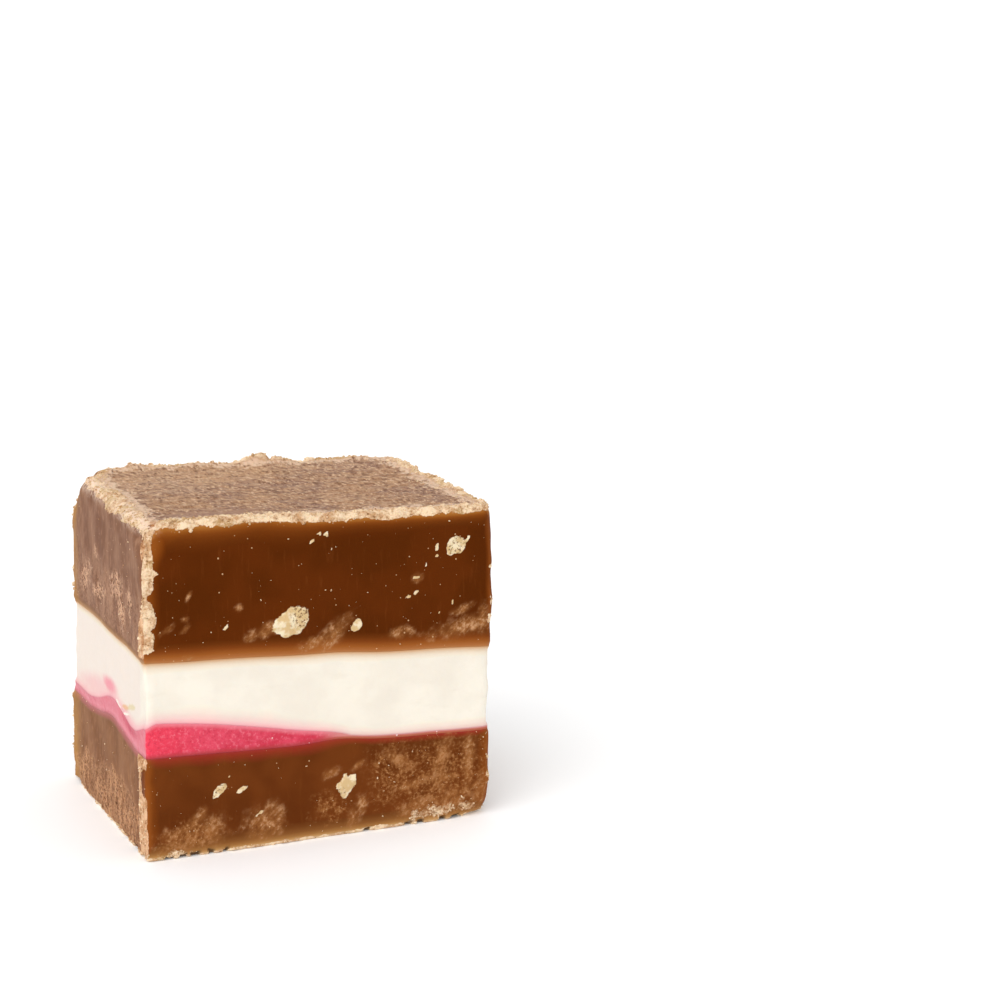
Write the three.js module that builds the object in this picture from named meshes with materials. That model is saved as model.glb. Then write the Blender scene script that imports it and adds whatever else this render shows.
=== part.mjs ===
// One hand-cut piece of layered fudge, in millimetres, +Z up.
//
// Four layers were poured one on another in a tray and cut when set: a brown base, a pink wedge that
// thins out to a line, a thick white layer and a brown top. The knife has left the sides leaning a
// little, the corners bruised and a crumbly, sugary lip round the top. The front faces -Y, and the
// origin is the middle of the flat underside.

import * as THREE from "three";

// ---- Driving dimensions ----------------------------------------------------------------------

const HEIGHT = 27.0; // nominal thickness of the slab

// Feet stand on the table and heads meet the top face, anticlockwise from the front left corner.
// round is the rounding of the upright edge; chip and bruise are the radii to which the corners of
// the underside and of the top are worn.
const CORNERS = [
  { foot: [-15.25, -12.2], head: [-14.95, -11.8], height: 27.55, round: 0.45, chip: 0.35, bruise: 1.7 },
  { foot: [14.75, -11.5], head: [14.9, -12.0], height: 26.75, round: 0.9, chip: 1.3, bruise: 0.9 },
  { foot: [14.7, 11.8], head: [14.75, 11.8], height: 26.5, round: 0.8, chip: 0.8, bruise: 1.1 },
  { foot: [-15.1, 12.05], head: [-14.45, 11.85], height: 27.4, round: 0.8, chip: 0.5, bruise: 2.8 },
];
const FOOT_ROUND = 0.25; // rounding of the edge round the underside, away from the corners
const TOP_ROUND = 0.75; // rounding of the edge round the top face, away from the corners
const LAYER_GAP = 0.04; // daylight between two layers, so that their solids stay apart
// An upright edge is rounder where its corner is worn: its rounding grows to this share of the worn
// radius, over these heights below the top face and above the table.
const WORN_EDGE = { share: 1.5, belowTop: [4.5, 0.6], aboveFoot: 2.5 };

// ---- Resolution ------------------------------------------------------------------------------

const SIDE_POINTS = 25; // outline points along each side
const BEND_POINTS = 7; // outline points round each upright edge
const OUTLINE = CORNERS.length * (SIDE_POINTS + BEND_POINTS);
const LEVEL_STEP = 1.2; // height between two rings of a side wall
const TOP_RINGS = [0.965, 0.93, 0.885, 0.82, 0.7, 0.52, 0.28]; // shares of the outline, inwards
const TOP_BEND = [30, 60, 90]; // degrees round the edge of the top face
const FOOT_BEND = [90, 45]; // degrees round the edge of the underside

// ---- Small helpers ---------------------------------------------------------------------------

const { lerp, smoothstep } = THREE.MathUtils;
const hump = (distance, reach) => Math.exp(-((distance / reach) ** 2));

// A repeatable random number from 0 to 1 for a whole-number lattice point.
function lattice(i, j, k) {
  const wave = Math.sin(i * 127.1 + j * 311.7 + k * 74.7) * 43758.5453;
  return wave - Math.floor(wave);
}

// Smooth noise from -1 to 1, with bumps about `grain` millimetres across.
function noise(point, grain) {
  const [x, y, z] = [point.x / grain, point.y / grain, point.z / grain];
  const [i, j, k] = [x, y, z].map(Math.floor);
  const [u, v, w] = [smoothstep(x - i, 0, 1), smoothstep(y - j, 0, 1), smoothstep(z - k, 0, 1)];
  const edge = (dj, dk) => lerp(lattice(i, j + dj, k + dk), lattice(i + 1, j + dj, k + dk), u);
  const face = (dk) => lerp(edge(0, dk), edge(1, dk), v);
  return 2 * lerp(face(0), face(1), w) - 1;
}

// ---- Surfaces between the layers -------------------------------------------------------------

// Top of the brown base: it falls to the right and the back, with a swell where the left side cuts
// it and a ripple in the front.
const BASE = {
  height: 7.78,
  fallRight: 0.037,
  fallBack: 0.022,
  swell: { rise: 0.88, y: -1.8, reach: 4.4, fadesBetweenX: [-14, -2] },
  ripple: { rise: 0.3, x: 1.2, reach: 2.6, fadesBetweenY: [-11, -2] },
};
function baseTop(x, y) {
  const { swell, ripple } = BASE;
  const slope = BASE.height - BASE.fallRight * x - BASE.fallBack * y;
  const atLeft = 1 - smoothstep(x, ...swell.fadesBetweenX);
  const atFront = 1 - smoothstep(y, ...ripple.fadesBetweenY);
  const swellRise = swell.rise * hump(y - swell.y, swell.reach) * atLeft;
  const rippleRise = ripple.rise * hump(x - ripple.x, ripple.reach) * atFront;
  return slope + swellRise + rippleRise;
}

// The pink wedge: thickest at the front left corner, a thin line past the middle of the piece. On
// the left side the knife has dragged white down over it.
const PINK = {
  line: 0.25, // thickness of the thin line
  wedge: 2.65, // what the thick end adds to it
  startX: -15.2,
  length: 17.6,
  taper: 1.6, // 1 is a straight wedge, more is a rounder one
  backShare: 0.2, // share of the wedge that is left at the back
  thinsBetweenY: [-12, 8],
  dragged: { share: 0.55, y: -7.6, reach: 4.0, fadesBetweenX: [-15.2, -14.1] },
};
function pinkThickness(x, y) {
  const { dragged } = PINK;
  const run = Math.max(x - PINK.startX, 0) / PINK.length;
  const toRight = Math.max(0, 1 - run ** PINK.taper);
  const toBack = lerp(1, PINK.backShare, smoothstep(y, ...PINK.thinsBetweenY));
  const atSide = 1 - smoothstep(x, ...dragged.fadesBetweenX);
  const left = 1 - dragged.share * hump(y - dragged.y, dragged.reach) * atSide;
  return PINK.line + PINK.wedge * toRight * toBack * left;
}
const pinkTop = (x, y) => baseTop(x, y) + pinkThickness(x, y);

// Top of the white layer: a nearly flat pour that slopes down to the right, with a sag at the back
// left, a ripple in the front and slow waves.
const WHITE = {
  height: 15.6,
  fallRight: 0.0615,
  sag: { depth: 0.42, betweenY: [1, 13], fadesBetweenX: [-13, 6] },
  ripple: { rise: 0.2, x: 1.4, reach: 3.0, fadesBetweenY: [-11, -2] },
  wave: { rise: 0.08, lengthX: 17, lengthY: 31 },
};
function whiteTop(x, y) {
  const { sag, ripple, wave } = WHITE;
  const dip = sag.depth * smoothstep(y, ...sag.betweenY) * (1 - smoothstep(x, ...sag.fadesBetweenX));
  const swing = wave.rise * Math.sin(2 * Math.PI * (x / wave.lengthX + y / wave.lengthY));
  const atFront = 1 - smoothstep(y, ...ripple.fadesBetweenY);
  const rippleRise = ripple.rise * hump(x - ripple.x, ripple.reach) * atFront;
  return WHITE.height - WHITE.fallRight * x - dip + rippleRise + swing;
}

// The top face before its crust: level across each corner, a little hollow in the middle.
const TOP = {
  betweenX: [-14.6, 14.6],
  betweenY: [-11.9, 11.9],
  hollow: { depth: 0.22, reachX: 10, reachY: 8 },
};
function topFace(x, y) {
  const u = smoothstep(x, ...TOP.betweenX);
  const v = smoothstep(y, ...TOP.betweenY);
  const [frontLeft, frontRight, backRight, backLeft] = CORNERS.map((corner) => corner.height);
  const level = lerp(lerp(frontLeft, frontRight, u), lerp(backLeft, backRight, u), v);
  return level - TOP.hollow.depth * hump(x, TOP.hollow.reachX) * hump(y, TOP.hollow.reachY);
}

// ---- The cut sides ---------------------------------------------------------------------------

// Sugar lumps that the knife left standing or pulled out: on a side, where they are along it and up
// it, their half width and half height, and how far they stand out (pits are negative).
const FRONT = 0;
const RIGHT = 1;
const BACK = 2;
const LEFT = 3;
const LUMP_EDGE = 0.9; // share of its half size at which a lump has sunk to a third
const LUMPS = [
  { side: FRONT, at: [-2.6, 18.7], size: [1.75, 1.35], rise: 0.3 },
  { side: FRONT, at: [11.6, 23.6], size: [1.05, 1.0], rise: -0.22 },
  { side: FRONT, at: [1.8, 4.4], size: [0.95, 1.1], rise: 0.2 },
  { side: FRONT, at: [-5.6, 2.2], size: [1.6, 1.4], rise: -0.16 },
  { side: FRONT, at: [-9.0, 5.4], size: [1.0, 0.7], rise: -0.2 },
  { side: RIGHT, at: [-5.5, 20.6], size: [1.5, 1.2], rise: 0.25 },
  { side: RIGHT, at: [6.2, 4.2], size: [1.3, 1.1], rise: -0.2 },
  { side: BACK, at: [6.5, 21.5], size: [1.2, 1.4], rise: -0.22 },
  { side: BACK, at: [-7.8, 4.6], size: [1.6, 1.2], rise: 0.25 },
  { side: LEFT, at: [3.2, 19.5], size: [1.4, 1.5], rise: 0.18 },
  { side: LEFT, at: [-5.0, 3.5], size: [1.5, 1.3], rise: -0.16 },
];

function lumpRise(side, along, z) {
  let rise = 0;
  for (const lump of LUMPS) {
    if (lump.side !== side) continue;
    const across = (along - lump.at[0]) / lump.size[0];
    const up = (z - lump.at[1]) / lump.size[1];
    rise += lump.rise * hump(Math.hypot(across, up), LUMP_EDGE);
  }
  return rise;
}

// How far each layer stands out of the cut: firm brown fudge springs back, soft white drags inwards.
const STAND_OUT = { base_fudge: 0.08, pink_fudge: -0.06, white_fudge: -0.12, top_fudge: 0.1 };

const STEP_REACH = 0.18; // height over which a layer reaches that step

// Unevenness of the cut: how far it stands out, how wide its bumps are and, at an edge, how far in
// from that edge it reaches.
const WAVES = { rise: 0.1, grain: 8 };
const ROUGHNESS = { rise: 0.05, grain: 1.9 };
const LIP_CRUMBS = { rise: 0.2, grain: 1.3, reach: 1.2 };
const UPRIGHT_CRUMBS = { rise: 0.12, grain: 1.1, reach: 1.1 };

// The rounding of an upright edge at height z.
function roundAt(index, z) {
  const { round, chip, bruise, height } = CORNERS[index % CORNERS.length];
  const { share, belowTop, aboveFoot } = WORN_EDGE;
  const atTop = smoothstep(z, height - belowTop[0], height - belowTop[1]);
  const atFoot = 1 - smoothstep(z, 0, aboveFoot);
  const grows = (worn) => Math.max(0, share * worn - round);
  return round + grows(bruise) * atTop + grows(chip) * atFoot;
}

// The outline point with this index at height z, before any relief, with its outward direction,
// the side that it is on and how near it is to an upright edge (0 to 1).
function cutPoint(index, z) {
  const perSide = SIDE_POINTS + BEND_POINTS;
  const side = Math.floor(index / perSide);
  const step = index % perSide;
  const lean = z / HEIGHT;
  const corner = (k) => {
    const { foot, head } = CORNERS[k % CORNERS.length];
    return new THREE.Vector2(...foot).lerp(new THREE.Vector2(...head), lean);
  };
  const [start, end, after] = [corner(side), corner(side + 1), corner(side + 2)];
  const first = roundAt(side, z);
  const last = roundAt(side + 1, z);
  const along = (from, to) => to.clone().sub(from).normalize();
  const outward = (direction) => new THREE.Vector2(direction.y, -direction.x);
  const leave = start.clone().addScaledVector(along(start, end), first);
  const arrive = end.clone().addScaledVector(along(end, start), last);
  const normal = outward(along(start, end));

  if (step < SIDE_POINTS) {
    const share = step / (SIDE_POINTS - 1);
    const place = leave.clone().lerp(arrive, share);
    const reach = Math.min(place.distanceTo(start) - first, place.distanceTo(end) - last);
    return { place, normal, side, edge: hump(reach, UPRIGHT_CRUMBS.reach) };
  }
  const share = (step - SIDE_POINTS + 1) / (BEND_POINTS + 1);
  const turn = end.clone().addScaledVector(along(end, after), last);
  const bend = new THREE.QuadraticBezierCurve(arrive, end, turn);
  const place = bend.getPoint(share);
  normal.lerp(outward(along(end, after)), share).normalize();
  return { place, normal, side: share < 0.5 ? side : (side + 1) % CORNERS.length, edge: 1 };
}

// A point of a side: the cut with its waves, crumbs and lumps, standing out by `out` millimetres.
function sidePoint(index, z, out) {
  const { place, normal, side, edge } = cutPoint(index, z);
  const here = new THREE.Vector3(place.x, place.y, z);
  const belowTop = Math.max(topFace(place.x, place.y) - z, 0);
  const along = side === FRONT || side === BACK ? place.x : place.y;
  const bumps = ({ rise, grain }) => rise * noise(here, grain);
  const relief =
    bumps(WAVES) +
    bumps(ROUGHNESS) +
    bumps(LIP_CRUMBS) * hump(belowTop, LIP_CRUMBS.reach) +
    bumps(UPRIGHT_CRUMBS) * edge +
    lumpRise(side, along, z);
  return here.add(new THREE.Vector3(normal.x, normal.y, 0).multiplyScalar(out + relief));
}

// The point of a side at which the surface between two layers comes out.
function jointPoint(index, surface) {
  const middle = cutPoint(index, HEIGHT / 2).place;
  const near = cutPoint(index, surface(middle.x, middle.y)).place;
  const point = sidePoint(index, surface(near.x, near.y), 0);
  point.z = surface(point.x, point.y);
  return point;
}

// ---- The top face ----------------------------------------------------------------------------

// Smeared sugary crust stands up along the edges; one curled flake rises from the back edge.
const CRUST = { rise: 0.22, reach: 1.5, crumbs: { rise: 0.22, grain: 1.2 } };
const SMEARS = { rise: 0.07, grain: 2.4 };
const FLAKE = { x: 2.4, y: 11.4, halfLength: 2.1, halfWidth: 0.9, rise: 0.7 };

function crustHeight(x, y, inset) {
  const here = new THREE.Vector3(x, y, HEIGHT);
  const crumbs = CRUST.crumbs.rise * noise(here, CRUST.crumbs.grain);
  const lip = hump(inset, CRUST.reach) * (CRUST.rise + crumbs);
  const smears = SMEARS.rise * noise(here, SMEARS.grain);
  const flake = FLAKE.rise * hump(x - FLAKE.x, FLAKE.halfLength) * hump(y - FLAKE.y, FLAKE.halfWidth);
  return lip + smears + flake;
}

// The radius of the edge round the underside or the top face at a point: `plain` along the sides,
// growing to the worn radius at each corner, which it keeps for the first millimetre from it.
const WEAR = { full: 1.0, reach: 2.0 };
function wornRadius({ x, y }, end, wear, plain) {
  const extra = CORNERS.map((corner) => {
    const distance = Math.hypot(x - corner[end][0], y - corner[end][1]);
    return (corner[wear] - plain) * hump(Math.max(distance - WEAR.full, 0), WEAR.reach);
  });
  return plain + Math.max(0, ...extra);
}
const topRadius = (place) => wornRadius(place, "head", "bruise", TOP_ROUND);
const footRadius = (place) => wornRadius(place, "foot", "chip", FOOT_ROUND);

// ---- Layers as rings joined into one closed skin ---------------------------------------------

const ringOf = (pointAt) => Array.from({ length: OUTLINE }, (_, index) => pointAt(index));

// A ring drawn in towards the middle, with its height from the surface that it lies on.
function innerRing(outer, share, heightAt) {
  return outer.map((p) => {
    const [x, y] = [p.x * share, p.y * share];
    return new THREE.Vector3(x, y, heightAt(x, y, p));
  });
}

// Rings from the bottom's middle outwards, up the walls and in over the top, closed by two fans.
function skin(bottomCentre, rings, topCentre) {
  const points = [bottomCentre, ...rings.flat(), topCentre];
  const at = (ring, index) => 1 + ring * OUTLINE + (index % OUTLINE);
  const last = points.length - 1;
  const faces = [];
  for (let index = 0; index < OUTLINE; index++) {
    faces.push(0, at(0, index + 1), at(0, index));
    for (let ring = 0; ring + 1 < rings.length; ring++) {
      const [a, b] = [at(ring, index), at(ring, index + 1)];
      const [c, d] = [at(ring + 1, index + 1), at(ring + 1, index)];
      // Alternate diagonals, so that no grain runs one way round the piece.
      if ((ring + index) % 2) faces.push(a, b, c, a, c, d);
      else faces.push(a, b, d, b, c, d);
    }
    faces.push(at(rings.length - 1, index), at(rings.length - 1, index + 1), last);
  }
  const geometry = new THREE.BufferGeometry().setFromPoints(points);
  geometry.setIndex(faces);
  geometry.computeVertexNormals();
  return geometry;
}

// Rings of a side between two heights at each point, standing out by the layer's own step, which is
// reached just off the joints. Their number is odd, so that the triangles of two layers match where
// they meet.
function wallRings(name, lows, highs) {
  const tallest = Math.max(...highs.map((high, index) => high - lows[index]));
  const steps = 2 * Math.max(1, Math.round(tallest / LEVEL_STEP / 2));
  return Array.from({ length: steps + 1 }, (_, step) =>
    ringOf((index) => {
      const off = Math.min(STEP_REACH, (highs[index] - lows[index]) / 4);
      const z = lerp(lows[index] + off, highs[index] - off, step / steps);
      return sidePoint(index, z, STAND_OUT[name]);
    }),
  );
}

// A joint between two layers, with half of their gap added or taken off: the ring where it shows,
// and a ring a little way in and a middle point, which carry its hidden face.
const CAP_SHARE = 0.9;
function joint(surface, rise) {
  const height = (x, y) => surface(x, y) + rise;
  const shown = ringOf((index) => jointPoint(index, height));
  const heights = shown.map((point) => point.z);
  const hidden = innerRing(shown, CAP_SHARE, height);
  return { shown, heights, hidden, centre: new THREE.Vector3(0, 0, height(0, 0)) };
}
const jointAbove = (surface) => joint(surface, -LAYER_GAP / 2);
const jointBelow = (surface) => joint(surface, LAYER_GAP / 2);

// Rings of a rounded edge that starts at the side and goes up (1) or down (-1) round to a flat face.
function edgeRings(name, starts, radii, towards, angles) {
  return angles.map((degrees) => {
    const angle = THREE.MathUtils.degToRad(degrees);
    return ringOf((index) => {
      const inset = radii[index] * (1 - Math.cos(angle));
      const z = starts[index] + towards * radii[index] * Math.sin(angle);
      return sidePoint(index, z, STAND_OUT[name] - inset);
    });
  });
}

function baseLayer(name) {
  const radii = ringOf((index) => footRadius(cutPoint(index, 0).place));
  const foot = edgeRings(name, radii, radii, -1, FOOT_BEND);
  const over = jointAbove(baseTop);
  const walls = wallRings(name, radii, over.heights);
  return skin(new THREE.Vector3(0, 0, 0), [...foot, ...walls, over.shown, over.hidden], over.centre);
}

function pouredLayer(name, lower, upper) {
  const [under, over] = [jointBelow(lower), jointAbove(upper)];
  const walls = wallRings(name, under.heights, over.heights);
  return skin(under.centre, [under.hidden, under.shown, ...walls, over.shown, over.hidden], over.centre);
}

// The top layer: its sides end at a shoulder, which bends over into the crusted top face.
function topLayer(name) {
  const edge = ringOf((index) => cutPoint(index, HEIGHT).place);
  const radii = edge.map(topRadius);
  const shoulders = edge.map(({ x, y }, index) => topFace(x, y) - radii[index]);
  const bend = edgeRings(name, shoulders, radii, 1, TOP_BEND);
  for (const ring of bend) {
    ring.forEach((point, index) => {
      const turned = ((point.z - shoulders[index]) / radii[index]) ** 2;
      point.z += turned * crustHeight(point.x, point.y, radii[index] * turned);
    });
  }
  const top = TOP_RINGS.map((share) =>
    innerRing(bend.at(-1), share, (x, y, outer) => {
      const inset = Math.hypot(outer.x - x, outer.y - y) + TOP_ROUND;
      return topFace(x, y) + crustHeight(x, y, inset);
    }),
  );
  const under = jointBelow(whiteTop);
  const walls = wallRings(name, under.heights, shoulders);
  const rings = [under.hidden, under.shown, ...walls, ...bend, ...top];
  return skin(under.centre, rings, new THREE.Vector3(0, 0, topFace(0, 0)));
}

// ---- The piece -------------------------------------------------------------------------------

function layer(name, geometry, colour, roughness) {
  const material = new THREE.MeshStandardMaterial({ color: colour, roughness, metalness: 0 });
  const mesh = new THREE.Mesh(geometry, material);
  mesh.name = name;
  return mesh;
}

const fudge = new THREE.Group();
fudge.add(
  layer("base_fudge", baseLayer("base_fudge"), 0x74401c, 0.5),
  layer("pink_fudge", pouredLayer("pink_fudge", baseTop, pinkTop), 0xe2506a, 0.5),
  layer("white_fudge", pouredLayer("white_fudge", pinkTop, whiteTop), 0xf7efe0, 0.55),
  layer("top_fudge", topLayer("top_fudge"), 0x6a3410, 0.5),
);

export default fudge;
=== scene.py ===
"""A hand-cut cube of layered fudge, standing on its uncut underside."""
import itertools

import bpy
import numpy as np
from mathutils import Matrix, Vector


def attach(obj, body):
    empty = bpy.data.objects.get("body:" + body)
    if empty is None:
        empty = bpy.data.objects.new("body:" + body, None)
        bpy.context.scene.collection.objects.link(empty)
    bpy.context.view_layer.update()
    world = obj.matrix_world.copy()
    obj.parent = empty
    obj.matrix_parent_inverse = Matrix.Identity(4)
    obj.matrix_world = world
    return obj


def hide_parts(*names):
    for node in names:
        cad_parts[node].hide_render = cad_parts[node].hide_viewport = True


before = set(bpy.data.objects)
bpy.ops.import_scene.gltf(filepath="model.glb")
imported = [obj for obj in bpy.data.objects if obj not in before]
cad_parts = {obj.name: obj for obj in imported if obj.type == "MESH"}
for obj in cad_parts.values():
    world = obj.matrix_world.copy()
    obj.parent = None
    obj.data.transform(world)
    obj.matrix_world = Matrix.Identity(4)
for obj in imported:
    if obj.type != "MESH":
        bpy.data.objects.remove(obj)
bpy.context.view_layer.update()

# ---- Brown base --------------------------------------------------------------------------------
# The first pour: plain brown fudge, about 8 mm thick. The slab is cut into cubes with a long knife
# once it has set, so the sides lean a little, the upright edges carry a burr of crumbs and a thin
# crumbly line runs round the foot. All sizes are in millimetres until a mesh is made.

MM = 0.001
SLAB = 27.0
# Corners anticlockwise from the front left: where the foot stands, where the head ends, how high
# the top face is there, the radii to which foot and head are worn, and those of the upright edges.
FEET = np.array([(-15.25, -12.2), (14.75, -11.5), (14.7, 11.8), (-15.1, 12.05)])
HEADS = np.array([(-14.95, -11.8), (14.9, -12.0), (14.75, 11.8), (-14.45, 11.85)])
HEIGHTS = np.array([27.55, 26.75, 26.5, 27.4])
CHIPS = np.array([0.35, 1.3, 0.8, 0.5])
BRUISES = np.array([1.7, 0.9, 1.1, 2.8])
ROUNDS = np.array([0.45, 0.9, 0.8, 0.8])
FOOT_ROUND, TOP_ROUND = 0.25, 0.75
WORN_EDGE = 1.5  # an upright edge is rounded by this share of the worn radius at a worn corner
FRONT, RIGHT, BACK, LEFT = range(4)


def hump(distance, reach):
    return np.exp(-((distance / reach) ** 2))


def ease(value, low, high):
    t = np.clip((value - low) / (high - low), 0.0, 1.0)
    return t * t * (3 - 2 * t)


def between(a, b, share):
    return a + (b - a) * share


def lattice(i, j, k):
    wave = np.sin(i * 127.1 + j * 311.7 + k * 74.7) * 43758.5453
    return wave - np.floor(wave)


def bumps(p, grain, seed=0.0):
    """Smooth unevenness from -1 to 1, with bumps about `grain` across."""
    q = p / grain + seed
    cell = np.floor(q)
    u, v, w = np.moveaxis(ease(q - cell, 0.0, 1.0), -1, 0)
    i, j, k = np.moveaxis(cell, -1, 0)
    total = 0.0
    for di, dj, dk in itertools.product((0, 1), repeat=3):
        share = (u if di else 1 - u) * (v if dj else 1 - v) * (w if dk else 1 - w)
        total = total + share * lattice(i + di, j + dj, k + dk)
    return 2 * total - 1


def rubble(p, grain, seed=0.0):
    """Rounded crumbs packed together: 1 on top of a crumb, 0 in the cracks between crumbs."""
    q = p / grain + seed
    cell = np.floor(q)
    nearest = np.full(p.shape[:-1], 9.0)
    size = np.ones(p.shape[:-1])
    for offset in itertools.product((-1.0, 0.0, 1.0), repeat=3):
        i, j, k = np.moveaxis(cell + offset, -1, 0)
        jitter = np.stack([lattice(i, j, k), lattice(i + 17, j, k), lattice(i, j + 31, k)], -1)
        away = ((cell + offset + jitter - q) ** 2).sum(-1)
        size = np.where(away < nearest, 0.45 + 0.55 * lattice(i, j, k + 47), size)
        nearest = np.minimum(nearest, away)
    return np.clip(1 - nearest / 0.75, 0, 1) * size


# Marks round the outline, closer together near the corners, as (side, share of the side).
MARKS = {FRONT: 198, RIGHT: 158, BACK: 198, LEFT: 158}
CROWDING = 0.3


def crowded(count):
    share = np.arange(count) / count
    return share - CROWDING * np.sin(2 * np.pi * share) / (2 * np.pi)


mark_side = np.concatenate([np.full(MARKS[side], side) for side in MARKS])
mark_share = np.concatenate([crowded(MARKS[side]) for side in MARKS])
ROUND_MARKS = len(mark_side)


def rounding(k, z):
    """How far an upright edge is rounded off, more towards its worn head and foot."""
    k = k % 4
    at_top = ease(z, HEIGHTS[k] - 4.5, HEIGHTS[k] - 0.6)
    at_foot = ease(z, 2.5, 0.0)
    grown = lambda worn_to: np.maximum(WORN_EDGE * worn_to[k] - ROUNDS[k], 0)
    return ROUNDS[k] + grown(BRUISES) * at_top + grown(CHIPS) * at_foot


def unit(v):
    return v / np.linalg.norm(v, axis=-1, keepdims=True)


def corner_at(k, z):
    """Where the upright edge k stands at the heights z, before it is rounded off."""
    return FEET[k % 4] + (z / SLAB)[..., None] * (HEADS - FEET)[k % 4]


def cut_outline(z):
    """Place and outward direction of every mark at the heights z (rows x marks), with the side that
    each one is on and how near it is to an upright edge."""
    outward = lambda v: np.stack([v[..., 1], -v[..., 0]], -1)
    start, end = corner_at(mark_side, z), corner_at(mark_side + 1, z)
    along = unit(end - start)
    length = np.linalg.norm(HEADS[(mark_side + 1) % 4] - HEADS[mark_side], axis=-1)
    station = mark_share * length
    first, last = rounding(mark_side, z), rounding(mark_side + 1, z)
    leaves, arrives = station < first, station > length - last
    run = np.clip((station - first) / (length - first - last), 0, 1)
    leave, arrive = start + along * first[..., None], end - along * last[..., None]
    straight = leave + (arrive - leave) * run[..., None]
    # Round the upright edges the outline is a short quadratic curve about the corner.
    turn = np.where(arrives, mark_side + 1, mark_side)
    round_ = np.where(leaves, first, last)[..., None]
    pivot = corner_at(turn, z)
    before, after = unit(corner_at(turn - 1, z) - pivot), unit(corner_at(turn + 1, z) - pivot)
    half = np.where(leaves, station, station - length + last) / round_[..., 0] / 2
    t = np.where(leaves, 0.5 + half, half)[..., None]
    a, b = pivot + before * round_, pivot + after * round_
    curve = (1 - t) ** 2 * a + 2 * t * (1 - t) * pivot + t**2 * b
    turned = unit(between(outward(-before), outward(after), t))
    bends = (leaves | arrives)[..., None]
    place = np.where(bends, curve, straight)
    past_first = np.linalg.norm(place - start, axis=-1) - first
    past_last = np.linalg.norm(place - end, axis=-1) - last
    return {
        "place": place,
        "facing": np.where(bends, turned, outward(along)),
        "side": np.broadcast_to(mark_side, z.shape),
        "edge": np.where(bends[..., 0], 1.0, hump(np.minimum(past_first, past_last), 1.1)),
    }


def base_top(x, y):
    slope = 7.78 - 0.037 * x - 0.022 * y
    left_swell = 0.88 * hump(y + 1.8, 4.4) * (1 - ease(x, -14, -2))
    front_ripple = 0.3 * hump(x - 1.2, 2.6) * (1 - ease(y, -11, -2))
    return slope + left_swell + front_ripple


def top_face(x, y):
    u, v = ease(x, -14.6, 14.6), ease(y, -11.9, 11.9)
    front, back = between(HEIGHTS[0], HEIGHTS[1], u), between(HEIGHTS[3], HEIGHTS[2], u)
    return between(front, back, v) - 0.22 * hump(x, 10) * hump(y, 8)


# Sugar lumps left standing or pulled out by the knife: side, along, up, half sizes, stand-out.
STANDING_LUMPS = [
    (FRONT, -2.6, 18.7, 1.75, 1.35, 0.3), (FRONT, 11.6, 23.6, 1.05, 1.0, -0.22),
    (FRONT, 1.8, 4.4, 0.95, 1.1, 0.2), (FRONT, -5.6, 2.2, 1.6, 1.4, -0.16),
    (FRONT, -9.0, 5.4, 1.0, 0.7, -0.2), (RIGHT, -5.5, 20.6, 1.5, 1.2, 0.25),
    (RIGHT, 6.2, 4.2, 1.3, 1.1, -0.2), (BACK, 6.5, 21.5, 1.2, 1.4, -0.22),
    (BACK, -7.8, 4.6, 1.6, 1.2, 0.25), (LEFT, 3.2, 19.5, 1.4, 1.5, 0.18),
    (LEFT, -5.0, 3.5, 1.5, 1.3, -0.16),
]


def along_side(side, p):
    return np.where((side == FRONT) | (side == BACK), p[..., 0], p[..., 1])


def cut_relief(side, edge, p):
    """Waves, roughness, crumbs and lumps of a cut side."""
    below_top = np.maximum(top_face(p[..., 0], p[..., 1]) - p[..., 2], 0)
    relief = 0.1 * bumps(p, 8) + 0.05 * bumps(p, 1.9)
    relief += 0.2 * hump(below_top, 1.2) * bumps(p, 1.3) + 0.12 * edge * bumps(p, 1.1)
    for lump_side, along, up, half_width, half_height, rise in STANDING_LUMPS:
        away = np.hypot((along_side(side, p) - along) / half_width, (p[..., 2] - up) / half_height)
        relief += np.where(side == lump_side, rise * hump(away, 0.9), 0)
    return relief


def side_points(z, out):
    """Points of the cut sides at the heights z, standing out by `out` and by the cut's relief."""
    cut = cut_outline(z)
    flat = np.concatenate([cut["place"], z[..., None]], -1)
    facing = np.concatenate([cut["facing"], np.zeros(z.shape + (1,))], -1)
    stand = out + cut_relief(cut["side"], cut["edge"], flat)
    return flat + facing * stand[..., None], facing, cut


def meeting_heights(surface):
    """Where a surface between two layers comes out at each mark."""
    z = np.full((1, ROUND_MARKS), SLAB / 2)
    for _ in range(3):
        place = side_points(z, np.zeros_like(z))[0]
        z = surface(place[..., 0], place[..., 1])
    return z[0]


# How far each layer stands out from the cut, the height over which it steps out from its joints,
# and how many rows of marks it has between them.
STAND_OUT = {"base": 0.08, "pink": -0.06, "white": -0.12, "top": 0.1}
STEP_REACH = 0.4
ROWS = {"base": 56, "pink": 20, "white": 44, "top": 72}
BEND_ROWS = {"foot": 5, "top": 10}  # round the worn edges at the foot and the top face


def side_rows(layer, low, high, step_low=True, step_high=True):
    """Heights and stand-outs of a layer's rows of marks between its two joints."""
    share = np.append(crowded(ROWS[layer] - 1), 1.0)[:, None]
    z = between(low[None, :], high[None, :], share)
    step = np.ones_like(z)
    if step_low:
        step = np.minimum(step, ease(z - low, 0, STEP_REACH))
    if step_high:
        step = np.minimum(step, ease(high - z, 0, STEP_REACH))
    return z, STAND_OUT[layer] * step


def worn(place, corners, radii, plain):
    """Radius of a level edge, larger near the corners that are worn."""
    far = lambda corner: np.maximum(np.linalg.norm(place - corner, axis=-1) - 1.0, 0)
    extra = [(radius - plain) * hump(far(corner), 2.0) for corner, radius in zip(corners, radii)]
    return plain + np.maximum(0, np.max(extra, axis=0))


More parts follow.
